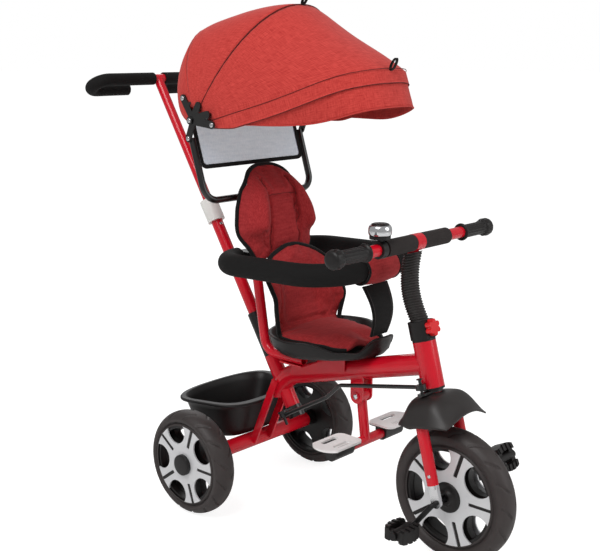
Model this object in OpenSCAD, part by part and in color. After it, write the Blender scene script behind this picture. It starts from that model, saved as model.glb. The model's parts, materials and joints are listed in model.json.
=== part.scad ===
// Toddler push along trike: a parent push bar that steers, a padded seat and a folding sunshade.
// X runs forward, Y to the rider's left and Z up, with the floor at zero.

/* [Wheels] */
// Diameter of each rear tyre
rear_tyre_d = 216; // [204:2:228]
// Width of each rear tyre
rear_tyre_w = 50; // [44:1:54]
// Diameter of the rear wheel discs
rear_disc_d = 162; // [150:2:168]
// Diameter of the front tyre
front_tyre_d = 256; // [244:2:264]
// Width of the front tyre
front_tyre_w = 46; // [40:1:50]
// Diameter of the front wheel discs
front_disc_d = 186; // [170:2:194]
// Distance between the front and rear axles
wheelbase = 516; // [506:2:540]
// Overall width across the rear tyres
track_w = 424; // [412:2:448]
// Spokes in each wheel
spokes = 5; // [4:1:6]
// Diameter of the axle rods
axle_d = 10; // [8:0.5:12]
// Diameter of each hub
hub_d = 34; // [30:1:38]

/* [Frame] */
// Diameter of the main tube
main_d = 42; // [36:1:46]
// Diameter of the head tube
head_d = 44; // [42:1:48]
// Length of the head tube
head_len = 87; // [80:1:94]
// Lean of the steering axis from upright, in degrees
head_tilt = 15.3; // [12:0.1:18]
// Diameter of the rear axle tube
axle_tube_d = 32; // [28:1:36]
// Wall of the steel tubes
tube_wall = 2; // [1.5:0.1:3]
// Diameter of the backrest hoop tube
hoop_d = 20; // [16:0.5:22]
// Half the spacing of the backrest hoop uprights
hoop_half = 62; // [56:1:66]

/* [Fork and handlebar] */
// Diameter of the steerer tube
steerer_d = 28; // [24:0.5:30]
// Diameter of the fork tube
fork_d = 22; // [18:0.5:24]
// Half the spacing of the fork legs
fork_half = 56; // [52:1:62]
// Height of the fork crown above the axle, along the steering axis
crown_u = 178; // [172:1:182]
// Height of the head tube's lower end above the axle, along the steering axis
head_u = 204; // [203:1:210]
// Height of the steering collar
collar_len = 38; // [34:1:42]
// Length of the ribbed gaiter
gaiter_len = 126; // [110:1:140]
// Ribs on the gaiter
gaiter_ribs = 26; // [12:1:40]
// Diameter over the gaiter's ribs
gaiter_d = 36; // [34:1:40]
// Diameter of the handlebar tube
bar_d = 22; // [19:0.5:24]
// Length of the handlebar
bar_len = 468; // [440:2:490]
// Length of each hand grip
grip_len = 95; // [88:1:100]
// Throw of the pedal cranks
crank_r = 60; // [54:1:66]
// Length of each pedal
pedal_len = 50; // [46:1:56]

/* [Push bar] */
// Lean of the push bar from upright, in degrees
push_tilt = 31.3; // [29:0.1:33]
// Length of the push bar from its lower socket to the handle
push_len = 782; // [740:2:820]
// Diameter of the lower push tube
push_lower_d = 25; // [23:0.5:27]
// Diameter of the upper push tube
push_upper_d = 20; // [17:0.5:21]
// Half the width of the push handle, to the middle of its tube
handle_half = 160; // [148:1:172]
// Distance between the handle's cross bar and its returning ends
handle_back = 50; // [46:1:56]
// Diameter of the handle's foam
handle_foam_d = 27; // [25:0.5:32]
// Reach of the two steering arms from their axes
arm_reach = 36; // [33:1:40]

/* [Seat] */
// Length of the seat shell
shell_len = 254; // [246:2:264]
// Width of the seat shell
shell_w = 250; // [236:2:260]
// Height of the seat shell
shell_h = 43; // [39:1:47]
// Thickness of the seat cushion
seat_pad_t = 26; // [22:1:30]
// Width of the lower liner
liner_w = 210; // [196:2:220]
// Height of the lumbar part of the liner above the seat shell's floor
lumbar_h = 206; // [188:1:216]
// Width of the backrest
back_w = 204; // [190:2:212]
// Height of the backrest's top above the seat shell's floor
back_h = 364; // [338:1:378]
// Diameter of the safety bar's foam
bar_foam_d = 44; // [38:1:48]
// Diameter of the safety bar's steel core
bar_core_d = 18; // [14:0.5:20]
// Half the width of the safety bar, to the middle of its tube
ring_half = 144; // [140:1:152]
// Length of the safety bar from back to front
ring_len = 286; // [276:2:300]
// Width of the pad on the safety bar
pad_w = 96; // [80:1:110]
// Width of the crotch strap
strap_w = 64; // [54:1:70]

/* [Basket] */
// Width of the basket's rear rim
basket_rear_w = 296; // [270:2:302]
// Width of the basket's front rim
basket_front_w = 200; // [180:2:216]
// Length of the basket's rim
basket_len = 162; // [150:2:168]
// Depth of the basket
basket_h = 86; // [76:1:88]
// Wall of the basket
basket_wall = 3; // [2:0.25:4]

/* [Sunshade] */
// Half the spacing of the sunshade's hinges
hood_half = 168; // [166:1:176]
// Height of the sunshade's hinge above the floor
hood_z = 802; // [792:1:810]
// Reach of the front bow from the hinge
front_bow_r = 366; // [340:2:374]
// Reach of the middle bow from the hinge
mid_bow_r = 258; // [244:2:266]
// Reach of the rear bow from the hinge
rear_bow_r = 188; // [180:2:198]
// Rise of the front bow, in degrees
front_bow_a = 15.5; // [13:0.5:18]
// Rise of the middle bow, in degrees
mid_bow_a = 58; // [55:1:61]
// Rise of the rear bow, in degrees
rear_bow_a = 109; // [107:1:112]
// Thickness of the sunshade's cloth with its lining
cloth_t = 2; // [1.5:0.1:3]
// Diameter of the bow wire
bow_d = 7; // [5:0.5:8]

/* [Footrest] */
// Length of the footrest's arm
foot_arm = 92; // [84:1:98]
// Length of each foot pad across the trike
foot_pad_w = 96; // [80:1:104]
// Length of each foot pad from front to back
foot_pad_len = 62; // [52:1:70]

/* [Hidden] */
$fn = 48;

// Gap between welded or seated pieces, running clearance, clearance of loose pieces, and overrun of cuts
seat_gap = 0.05;
run_gap = 0.08;
soft_gap = 0.4;
free_gap = 1;
over = 2;
bolt_d = 6;

red = [0.78, 0.06, 0.10];
cloth_red = [0.74, 0.24, 0.22];
liner_red = [0.56, 0.13, 0.15];
black = [0.12, 0.12, 0.12];
tyre_black = [0.16, 0.14, 0.13];
silver = [0.82, 0.82, 0.84];
chrome = [0.75, 0.76, 0.78];
pale = [0.88, 0.88, 0.86];

rear_r = rear_tyre_d / 2;
front_r = front_tyre_d / 2;
rear_wheel_y = (track_w - rear_tyre_w) / 2;

// Push bar axis
push_base_x = 108;
push_base_rise = 97;
push_base = [push_base_x, 0, rear_r + push_base_rise];
push_dir = [-sin(push_tilt), 0, cos(push_tilt)];
function on_push(s) = push_base + push_dir * s;
push_top = on_push(push_len);
handle_drop_a = 27;
handle_dir = [-cos(handle_drop_a), 0, -sin(handle_drop_a)];

// The origin lies under the middle of the trike's length
back_x = push_top.x + handle_dir.x * handle_back - handle_foam_d / 2;
centre_x = (back_x + wheelbase + front_r) / 2;
module placed() translate([-centre_x, 0, 0]) children();

// Frame of the steering axis, with its zero at the front axle
module on_steer() translate([wheelbase, 0, front_r]) rotate([0, -head_tilt, 0]) children();
function steer_point(x, y, u) = [
    wheelbase + x * cos(head_tilt) - u * sin(head_tilt),
    y,
    front_r + x * sin(head_tilt) + u * cos(head_tilt)
];

function unit(v) = v / norm(v);
function turn(p, i) = acos(unit(p[i] - p[i - 1]) * unit(p[i + 1] - p[i]));
function mix(a, b, t) = a + (b - a) * t;
function smooth(t) = let (c = min(1, max(0, t))) c * c * (3 - 2 * c);
function power(v, e) = sign(v) * pow(abs(v), e);

// Turns local +Z to run from a to b
module along(a, b) {
    d = b - a;
    translate(a)
        rotate([0, acos(d.z / norm(d)), atan2(d.y, d.x)])
            children();
}

module rod(a, b, d) along(a, b) cylinder(d = d, h = norm(b - a));

module elbow(p, i, r, d) {
    a = unit(p[i] - p[i - 1]);
    k = unit(cross(a, unit(p[i + 1] - p[i])));
    e = cross(a, k);
    c = p[i] - a * r * tan(turn(p, i) / 2) - e * r;
    multmatrix([[e.x, a.x, k.x, c.x], [e.y, a.y, k.y, c.y], [e.z, a.z, k.z, c.z], [0, 0, 0, 1]])
        rotate_extrude(angle = turn(p, i))
            translate([r, 0])
                circle(d = d);
}

// Tube through the points p with one bend radius r: each bend is a shade slimmer than the runs beside it
bend_step = 0.05;
bend_lap = 0.3;
module bent(p, r, d) {
    last = len(p) - 1;
    cut = [for (i = [0 : last]) i == 0 || i == last ? 0 : r * tan(turn(p, i) / 2) - bend_lap];
    for (i = [0 : last - 1]) {
        u = unit(p[i + 1] - p[i]);
        rod(p[i] + u * cut[i], p[i + 1] - u * cut[i + 1], d);
    }
    for (i = [1 : last - 1]) elbow(p, i, r, d - 2 * bend_step);
}

// Lengthens both ends of a path
function stretched(p, e) = let (n = len(p) - 1) [
    for (i = [0 : n])
        i == 0 ? p[0] + unit(p[0] - p[1]) * e : i == n ? p[n] + unit(p[n] - p[n - 1]) * e : p[i]
];

// Closed skin over rings of points: capped at both ends, or joined end to end
module loft(rings, joined = false) {
    n = len(rings[0]);
    m = len(rings);
    ones = [for (p = rings[0]) 1];
    ends = [for (ring = [rings[0], rings[m - 1]]) ones * ring / n];
    points = concat([for (ring = rings) each ring], joined ? [] : ends);
    sides = [
        for (i = [0 : joined ? m - 1 : m - 2], j = [0 : n - 1])
            let (k = (j + 1) % n, a = i * n, b = (i + 1) % m * n)
                each [[a + j, b + k, a + k], [a + j, b + j, b + k]]
    ];
    caps = [
        for (j = [0 : n - 1])
            let (t = (m - 1) * n, k = (j + 1) % n)
                each [[m * n, j, k], [m * n + 1, t + k, t + j]]
    ];
    polyhedron(points, joined ? sides : concat(sides, caps));
}

// Thin sheet between two equal grids of points, the outer one first
module sheet(top, bottom) {
    m = len(top);
    n = len(top[0]);
    k = m * n;
    points = concat([for (row = top) each row], [for (row = bottom) each row]);
    skins = [
        for (i = [0 : m - 2], j = [0 : n - 2])
            let (a = i * n + j, b = a + 1, c = a + n, d = b + n)
                each [[a, d, b], [a, c, d], [a + k, b + k, d + k], [a + k, d + k, c + k]]
    ];
    rows = [
        for (j = [0 : n - 2])
            let (a = j, b = j + 1, c = (m - 1) * n + j, d = c + 1)
                each [[a, b, b + k], [a, b + k, a + k], [c, d + k, d], [c, c + k, d + k]]
    ];
    columns = [
        for (i = [0 : m - 2])
            let (a = i * n, b = a + n, c = a + n - 1, d = c + n)
                each [[a, b + k, b], [a, a + k, b + k], [c, d, d + k], [c, d + k, c + k]]
    ];
    polyhedron(points, concat(skins, rows, columns));
}

// Wire through points that lie in one plane with the normal k
wire_sides = 8;
module wire(p, k, d) {
    last = len(p) - 1;
    loft([
        for (i = [0 : last])
            let (t = unit(p[min(last, i + 1)] - p[max(0, i - 1)]), e = cross(t, k))
                [for (j = [0 : wire_sides - 1])
                    let (f = 360 * j / wire_sides)
                        p[i] + (k * cos(f) + e * sin(f)) * d / 2]
    ]);
}

module both_sides() {
    children();
    mirror([0, 1, 0]) children();
}

// Wheels, drawn with the axle along local Z and the outer face up
tread_share = 0.62;
rim_wall = 6;
web_t = 16;
disc_t = 3;
slit_w = 6;
slit_start_share = 0.25;
opening_share = 0.32;
opening_reach_share = 0.43;
band_w = 7;

// Square shoulders under a crowned tread
module tyre(d, disc_d, w) {
    crown_r = w * tread_share;
    shoulder = d / 2 - crown_r;
    rotate_extrude()
        intersection() {
            translate([disc_d / 2, -w / 2]) square([(d - disc_d) / 2, w]);
            union() {
                translate([shoulder, 0]) circle(r = crown_r);
                translate([0, -w / 2]) square([shoulder, w]);
            }
        }
}

module openings(disc_d, limit_d) {
    for (k = [0 : spokes - 1])
        rotate(360 * (k + 0.5) / spokes)
            intersection() {
                translate([disc_d * opening_reach_share, 0]) circle(d = disc_d * opening_share);
                circle(d = limit_d);
            }
}

module wheel_rim(disc_d, w) {
    barrel_r = disc_d / 2 - seat_gap;
    difference() {
        union() {
            difference() {
                cylinder(r = barrel_r, h = w - 2 * disc_t, center = true);
                cylinder(r = barrel_r - rim_wall, h = w, center = true);
            }
            linear_extrude(web_t, center = true)
                difference() {
                    circle(r = barrel_r - rim_wall / 2);
                    openings(disc_d, disc_d - 2 * band_w);
                }
            cylinder(d = hub_d, h = w - 2 * disc_t, center = true);
        }
        cylinder(d = axle_d + 2 * run_gap, h = w + over, center = true);
    }
}

// Silver star: its openings and the slits of its spokes run out to the rim, and it sits on the rim's face
module wheel_disc(disc_d, w) {
    translate([0, 0, w / 2 - disc_t])
        difference() {
            linear_extrude(disc_t)
                difference() {
                    circle(d = disc_d - 2 * seat_gap);
                    openings(disc_d, 2 * disc_d);
                    for (k = [0 : spokes - 1])
                        rotate(360 * k / spokes)
                            translate([disc_d * slit_start_share, -slit_w / 2])
                                square([disc_d / 2, slit_w]);
                }
            translate([0, 0, -over]) cylinder(d = axle_d + 2 * run_gap, h = disc_t + 2 * over);
        }
}

module rear_wheel_at(side)
    placed()
        translate([0, side * rear_wheel_y, rear_r])
            rotate([-90 * side, 0, 0])
                children();

module tyre_rear_right() color(tyre_black) rear_wheel_at(-1) tyre(rear_tyre_d, rear_disc_d, rear_tyre_w);
module tyre_rear_left() color(tyre_black) rear_wheel_at(1) tyre(rear_tyre_d, rear_disc_d, rear_tyre_w);
module rim_rear_right() color(black) rear_wheel_at(-1) wheel_rim(rear_disc_d, rear_tyre_w);
module rim_rear_left() color(black) rear_wheel_at(1) wheel_rim(rear_disc_d, rear_tyre_w);
module disc_rear_right() color(silver) rear_wheel_at(-1) wheel_disc(rear_disc_d, rear_tyre_w);
module disc_rear_left() color(silver) rear_wheel_at(1) wheel_disc(rear_disc_d, rear_tyre_w);

// Main tube from the head tube down to its cut tail
main_head_u = head_u + head_len / 2;
main_front = steer_point(0, 0, main_head_u);
main_bend_x = 98;
main_bend_rise = 165;
main_bend = [main_bend_x, 0, rear_r + main_bend_rise];
tail_a = 56;
tail_len = 96;
tail_rise = 112;
main_tail = main_bend - [cos(tail_a), 0, sin(tail_a)] * tail_len;
tail_z = rear_r + tail_rise;
main_bend_r = 70;
main_path = [main_front, main_bend, main_tail];
main_rise = main_front - main_bend;
function main_z(x) = main_bend.z + main_rise.z / main_rise.x * (x - main_bend.x);
main_lift = main_d / 2 / cos(atan2(main_rise.z, main_rise.x));
function main_top(x) = main_z(x) + main_lift;

socket_d = 32;
socket_len = 116;
module socket_space(d) rod(on_push(-over), on_push(socket_len + over), d);

module main_tube() color(red) placed()
    difference() {
        bent(main_path, main_bend_r, main_d);
        bent(stretched(main_path, over), main_bend_r, main_d - 2 * tube_wall);
        translate([main_tail.x - main_d, -main_d, tail_z - main_d * 4])
            cube([main_bend.x - main_tail.x + main_d, main_d * 2, main_d * 4]);
        on_steer() translate([0, 0, head_u]) cylinder(d = head_d + 2 * seat_gap, h = head_len);
        on_steer() translate([0, -main_d, head_u]) cube([main_d * 2, main_d * 2, head_len]);
        socket_space(socket_d + 2 * seat_gap);
    }

bush_flange = 4;
bush_len = 18;
module head_tube() color(red) placed() on_steer()
    translate([0, 0, head_u])
        difference() {
            cylinder(d = head_d, h = head_len);
            translate([0, 0, -over]) cylinder(d = head_d - 2 * tube_wall, h = head_len + 2 * over);
        }

module bush(bore, body_d, flange_d, len)
    difference() {
        union() {
            cylinder(d = body_d - 2 * seat_gap, h = len);
            translate([0, 0, -bush_flange]) cylinder(d = flange_d, h = bush_flange);
        }
        translate([0, 0, -bush_flange - over])
            cylinder(d = bore + 2 * run_gap, h = len + bush_flange + 2 * over);
    }

module push_socket() color(red) placed()
    difference() {
        rod(on_push(0), on_push(socket_len), socket_d);
        socket_space(push_lower_d + 2 * run_gap);
    }

axle_tube_half = rear_wheel_y - rear_tyre_w / 2 - bush_flange - free_gap;
module across(d, half) rotate([90, 0, 0]) cylinder(d = d, h = 2 * half, center = true);

// Flat struts that carry the main tube's tail on the axle tube
strut_w = 16;
strut_t = 5;
strut_reach = 13;
strut_back = 18;
strut_drop = 14;
strut_foot = [strut_reach, 0, rear_r];
strut_head = main_bend - [strut_back, 0, strut_drop];
module strut()
    translate([0, main_d / 2 + seat_gap, 0])
        along(strut_foot, strut_head)
            translate([-strut_w / 2, 0, 0])
                cube([strut_w, strut_t, norm(strut_head - strut_foot)]);

module axle_tube() color(red) placed()
    difference() {
        union() {
            translate([0, 0, rear_r]) across(axle_tube_d, axle_tube_half);
            both_sides() strut();
        }
        translate([0, 0, rear_r]) across(axle_tube_d - 2 * tube_wall, axle_tube_half + over);
    }

// Plastic bushes of the head tube, the axle tube and the push socket, with a long sleeve on the socket
push_bush_len = 98;
push_bush_d = 31;
module bushes() color(black) placed() {
    on_steer() {
        translate([0, 0, head_u]) bush(steerer_d, head_d - 2 * tube_wall, head_d, bush_len);
        translate([0, 0, head_u + head_len])
            rotate([180, 0, 0])
                bush(steerer_d, head_d - 2 * tube_wall, head_d, bush_len);
    }
    both_sides()
        translate([0, axle_tube_half, rear_r])
            rotate([90, 0, 0])
                bush(axle_d, axle_tube_d - 2 * tube_wall, axle_tube_d, bush_len);
    difference() {
        rod(on_push(socket_len), on_push(socket_len + push_bush_len), push_bush_d);
        rod(on_push(socket_len - over), on_push(socket_len + push_bush_len + over),
            push_lower_d + 2 * run_gap);
    }
}

hub_cap_d = 36;
hub_cap_t = 6;
module rear_axle() color(chrome) placed()
    translate([0, 0, rear_r]) {
        across(axle_d, track_w / 2 + hub_cap_t);
        both_sides()
            translate([0, track_w / 2 + seat_gap, 0])
                rotate([-90, 0, 0])
                    cylinder(d = hub_cap_d, h = hub_cap_t);
    }

// Seat bracket, backrest hoop and seat shell stand on one level above the main tube
foot_front_x = 196;
bracket_t = 3;
bracket_x = 118;
bracket_len = 150;
bracket_rise = 1.5;
shell_z = main_top(foot_front_x) + bracket_rise + bracket_t + hoop_d;
hoop_z = shell_z - hoop_d / 2 - soft_gap;
plate_z = hoop_z - hoop_d / 2 - bracket_t - seat_gap;
bracket_half = main_d / 2 + seat_gap;
module seat_bracket() color(red) placed() {
    plate = [foot_front_x - bracket_x - hoop_d, 2 * hoop_half + hoop_d, bracket_t];
    translate([bracket_x + hoop_d, -plate.y / 2, plate_z]) cube(plate);
    both_sides()
        translate([0, bracket_half + bracket_t, 0])
            rotate([90, 0, 0])
                linear_extrude(bracket_t)
                    polygon([
                        [bracket_x, main_z(bracket_x)],
                        [bracket_x + bracket_len, main_z(bracket_x + bracket_len)],
                        [bracket_x + bracket_len, shell_z - seat_gap],
                        [foot_front_x + over, shell_z - seat_gap],
                        [foot_front_x, plate_z + bracket_t],
                        [bracket_x + hoop_d, plate_z + bracket_t],
                    ]);
}

hoop_lean_share = 0.16;
hoop_bend_r = 32;
hoop_foot_x = 92.2;
hoop_rise = 307.5;
hoop_top_z = shell_z + hoop_rise;
hoop_top_x = hoop_foot_x - (hoop_top_z - hoop_z) * hoop_lean_share;
function hoop_x(z) = mix(hoop_foot_x, hoop_top_x, (z - hoop_z) / (hoop_top_z - hoop_z));
hoop_path = [
    [foot_front_x, -hoop_half, hoop_z], [hoop_foot_x, -hoop_half, hoop_z],
    [hoop_top_x, -hoop_half, hoop_top_z], [hoop_top_x, hoop_half, hoop_top_z],
    [hoop_foot_x, hoop_half, hoop_z], [foot_front_x, hoop_half, hoop_z]
];
module backrest_hoop() color(red) placed()
    difference() {
        bent(hoop_path, hoop_bend_r, hoop_d);
        bent(stretched(hoop_path, over), hoop_bend_r, hoop_d - 2 * tube_wall);
    }

// Seat shell: an oval dish with a raised nose
shell_wall = 3;
shell_back_x = 98;
shell_steps = 40;
nose_rise = 12;
floor_rise = 6;
shell_round_share = 0.8;
shell_floor_share = 0.56;
shell_side_share = 0.87;
shell_height_share = 0.45;
// The shell narrows towards its nose
taper_share = 0.52;
taper_from_share = -0.25;
taper_span_share = 1.1;
function shell_taper(u) = 1 - taper_share * smooth((u - taper_from_share) / taper_span_share);
function shell_half(x) =
    let (u = (x - shell_back_x) / shell_len * 2 - 1)
        shell_w / 2 * shell_taper(u) * pow(1 - pow(abs(u), 2 / shell_round_share), shell_round_share / 2);
function shell_ring(share, inset, z, nose) = [
    for (k = [0 : shell_steps - 1])
        let (
            a = 360 * k / shell_steps,
            u = power(cos(a), shell_round_share),
            half_l = shell_len / 2 * share - inset,
            half_w = shell_w / 2 * share * shell_taper(u) - inset
        )
            [shell_back_x + shell_len / 2 + half_l * u, half_w * power(sin(a), shell_round_share),
             z + nose * max(0, cos(a))]
];
module seat_shell() color(black) placed() {
    side_z = shell_z + shell_h * shell_height_share;
    rim_z = shell_z + shell_h;
    loft([
        shell_ring(shell_floor_share, 0, shell_z, floor_rise),
        shell_ring(shell_side_share, 0, side_z, (nose_rise + floor_rise) / 2),
        shell_ring(1, shell_wall, rim_z - shell_wall, nose_rise),
        shell_ring(1, 0, rim_z, nose_rise),
        shell_ring(1, 2 * shell_wall, rim_z, nose_rise),
        shell_ring(shell_side_share, shell_wall, side_z + shell_wall, (nose_rise + floor_rise) / 2),
        shell_ring(shell_floor_share, shell_wall, shell_z + shell_wall, floor_rise)
    ]);
}

// Liner cushion: one sewn piece that runs back along the seat and up the lumbar, where its sides wrap forward
pad_steps = 28;
liner_inset = 30;
liner_front_x = shell_back_x + shell_len - liner_inset;
liner_back_x = 147.5;
liner_lift = 19;
liner_share = 0.8;
lumbar_t = 24;
lumbar_lean_share = 0.085;
liner_bend_r = 32;
liner_side_share = 0.55;
liner_flat_share = 0.7;
nose_share = 0.45;
nose_pace = 2.5;
first_share = 0.04;
lumbar_side_share = 0.92;
lumbar_tip_share = 0.45;
lumbar_round_share = 0.96;
wing = 46;
wing_start_share = 0.35;
wing_top_share = 0.8;
function pad_ring(c, out_dir, half_w, t, wing) = [
    for (k = [0 : pad_steps - 1])
        let (
            a = 360 * k / pad_steps,
            v = power(cos(a), liner_side_share),
            bend = wing * smooth((abs(v) - wing_start_share) / (1 - wing_start_share))
        )
            c - [0, half_w * v, 0] + out_dir * (t / 2 * power(sin(a), liner_flat_share) + bend)
];
module seat_liner() color(liner_red) placed() {
    floor_z = shell_z + shell_wall + liner_lift + seat_pad_t / 2;
    seat_rows = 8;
    lumbar_rows = 10;
    up = unit([-lumbar_lean_share, 0, 1]);
    front = unit([1, 0, lumbar_lean_share]);
    corner = [liner_back_x - liner_bend_r, 0, floor_z + liner_bend_r];
    top_len = shell_z + lumbar_h - corner.z;
    loft(concat(
        [for (i = [0 : seat_rows])
            let (
                t = i / seat_rows,
                x = mix(liner_front_x, liner_back_x, t),
                fall = sqrt(1 - pow(1 - min(1, t * nose_pace + first_share), 2))
            )
                pad_ring([x, 0, floor_z], [0, 0, 1], shell_half(x) * liner_share * mix(nose_share, 1, fall),
                         seat_pad_t * mix(nose_share, 1, fall), 0)],
        [for (i = [1 : lumbar_rows])
            let (t = i / lumbar_rows, fall = sqrt(1 - pow(max(0, 2 * t - 1), 2) * lumbar_round_share))
                pad_ring(corner + up * top_len * t, front,
                         liner_w / 2 * mix(lumbar_side_share, 1, sin(t * 180)) * fall,
                         lumbar_t * mix(lumbar_tip_share, 1, fall), wing * smooth((1 - t) / wing_top_share))]
    ));
}

// Backrest cushion: a thin middle panel between two deep bolsters
bolster_depth = 50;
panel_t = 20;
back_rows = 16;
back_rise = 175.5;
back_base_z = shell_z + back_rise;
widest_share = 0.43;
swell_share = 0.58;
swell_fall = 2.4;
tip_share = 0.03;
puff_shares = [0.2, 0.18, 0.5];
wing_shares = [0.38, 0.3];
back_side_share = 0.7;
back_face_share = 0.45;
back_tip_share = 0.25;
rear_round_share = 0.1;
// Its sides wrap back round the hoop
wrap = 20;
wrap_y = hoop_half + hoop_d / 2 + 3 * free_gap;
wrap_span = 10;
wrap_shares = [0.14, 0.12];
function back_section(x, z, t) =
    let (
        swell = sqrt(max(tip_share, 1 - pow(abs(t - widest_share) / swell_share, swell_fall))),
        half_w = back_w / 2 * swell,
        puff = smooth((t - puff_shares[0]) / puff_shares[1]) * smooth((1 - t) / puff_shares[2])
    )
        [for (k = [0 : 2 * pad_steps - 1])
            let (
                a = 180 * (k + 1 / 2) / pad_steps,
                y = half_w * power(cos(a), back_side_share),
                side = smooth((abs(y) / half_w - wing_shares[0]) / wing_shares[1]),
                depth = (panel_t + (bolster_depth - panel_t) * side * puff) * min(1, swell + back_tip_share),
                back = wrap * smooth((abs(y) - wrap_y) / wrap_span)
                    * smooth((t - wrap_shares[0]) / wrap_shares[1]),
                lift = panel_t * rear_round_share * (1 - max(0, sin(a)))
            )
                [x - back + lift + (depth + back) * pow(max(0, -sin(a)), back_face_share), y, z]];
module back_pad() color(liner_red) placed() {
    rear = (hoop_d / 2 + soft_gap) / cos(atan(hoop_lean_share));
    rise = shell_z + back_h - back_base_z;
    loft([
        for (i = [0 : back_rows])
            let (t = i / back_rows, z = back_base_z + rise * t)
                back_section(hoop_x(z) + rear, z, t)
    ]);
}

// Safety bar: a closed ring that leans up a little to the front
ring_back_x = 35;
ring_rise = 177.5;
ring_z = shell_z + ring_rise;
ring_lean = 1.6;
ring_rear_bend = 60;
ring_front_bend = 84;
module on_ring() translate([ring_back_x, 0, ring_z]) rotate([0, -ring_lean, 0]) children();
module ring_corner(x, y, a, r, d)
    translate([x, y, 0])
        rotate(a)
            rotate_extrude(angle = 90)
                translate([r, 0])
                    circle(d = d);
module ring_front_part(d)
    both_sides() {
        ring_corner(ring_len - ring_front_bend, ring_half - ring_front_bend, 0, ring_front_bend, d);
        ring_corner(ring_rear_bend, ring_half - ring_rear_bend, 90, ring_rear_bend, d);
        rod([ring_rear_bend, ring_half, 0], [ring_len - ring_front_bend, ring_half, 0], d);
        rod([ring_len, 0, 0], [ring_len, ring_half - ring_front_bend, 0], d);
    }
module ring_rear_part(d) rod([0, ring_rear_bend - ring_half, 0], [0, ring_half - ring_rear_bend, 0], d);

module safety_bar() color(black) placed() on_ring() {
    ring_front_part(bar_core_d);
    ring_rear_part(bar_core_d);
}

module safety_foam() color(black) placed() on_ring()
    difference() {
        ring_front_part(bar_foam_d);
        ring_front_part(bar_core_d + 2 * seat_gap);
    }

// Pad wrapped round the front of the safety bar
pad_t = 9;
pad_rows = 8;
pad_tip_share = 0.35;
pad_end_share = 0.03;
module tummy_pad() color(cloth_red) placed() on_ring()
    difference() {
        loft([
            for (i = [0 : pad_rows])
                let (
                    t = i / pad_rows,
                    puff = mix(pad_tip_share, 1, sqrt(sin(180 * mix(pad_end_share, 1 - pad_end_share, t)))),
                    r = bar_foam_d / 2 + soft_gap + pad_t * puff
                )
                    [for (k = [0 : pad_steps - 1])
                        let (a = 360 * k / pad_steps)
                            [ring_len + r * cos(a), mix(pad_w / 2, -pad_w / 2, t), r * sin(a)]]
        ]);
        rod([ring_len, -pad_w, 0], [ring_len, pad_w, 0], bar_foam_d + 2 * soft_gap);
    }

// Crotch strap from the pad down to the seat shell's nose
strap_t = 4;
strap_steps = 12;
strap_bulge = 15;
strap_inset = 20;
ring_front_z = ring_z + ring_len * sin(ring_lean);
strap_top = [ring_back_x + ring_len, ring_front_z - bar_foam_d / 2 - pad_t - free_gap];
strap_low = [shell_back_x + shell_len - strap_inset, shell_z + shell_h + nose_rise + soft_gap];
function strap_point(t, off) = mix(strap_top, strap_low, t) + [strap_bulge * sin(180 * t) + off, 0];
module crotch_strap() color(black) placed()
    translate([0, strap_w / 2, 0])
        rotate([90, 0, 0])
            linear_extrude(strap_w)
                polygon(concat(
                    [for (i = [0 : strap_steps]) strap_point(i / strap_steps, strap_t / 2)],
                    [for (i = [strap_steps : -1 : 0]) strap_point(i / strap_steps, -strap_t / 2)]
                ));

// Basket: a tapered tub with a rolled rim, wider at the back
basket_steps = 40;
basket_front_x = 44;
basket_z = rear_r + axle_tube_d / 2 + seat_gap;
lip_t = 6;
basket_floor_share = 0.68;
basket_wall_share = 0.9;
basket_round_share = 0.5;
length_share = 0.25;
floor_in = 26;
wall_in = 12;
basket_bow = 16;
function basket_ring(shrink, front_in, z) = [
    for (k = [0 : basket_steps - 1])
        let (
            a = 360 * k / basket_steps,
            u = power(cos(a), basket_round_share),
            v = power(sin(a), basket_round_share),
            half_w = mix(basket_rear_w, basket_front_w, (u + 1) / 2) / 2 * shrink
        )
            [basket_front_x - basket_len / 2 * (1 - u * mix(shrink, 1, length_share))
             - front_in * (1 + u) / 2 - basket_bow * (1 - v * v) * max(0, -u), half_w * v, z]
];
clip_w = 16;
clip_t = 4;
clip_y = 48;
wall_share = 0.03;
module basket_tub()
    loft([
        basket_ring(basket_floor_share, floor_in, basket_z),
        basket_ring(basket_wall_share, wall_in, basket_z + basket_h - lip_t),
        basket_ring(1, 0, basket_z + basket_h - lip_t),
        basket_ring(1, 0, basket_z + basket_h),
        basket_ring(basket_wall_share - wall_share, wall_in, basket_z + basket_h),
        basket_ring(basket_floor_share - wall_share, floor_in + basket_wall, basket_z + basket_wall)
    ]);

// Half rings under the floor that hook the tub on the axle tube
module basket_clip()
    translate([0, clip_y, rear_r])
        difference() {
            across(axle_tube_d + 2 * clip_t, clip_w / 2);
            across(axle_tube_d + 2 * seat_gap, clip_w);
            translate([-axle_tube_d, -clip_w, -axle_tube_d])
                cube([2 * axle_tube_d, 2 * clip_w, axle_tube_d - clip_t]);
            translate([-axle_tube_d, -clip_w, axle_tube_d / 2 + basket_wall])
                cube([2 * axle_tube_d, 2 * clip_w, axle_tube_d]);
        }

module basket() color(black) placed() {
    basket_tub();
    both_sides() basket_clip();
}

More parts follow.
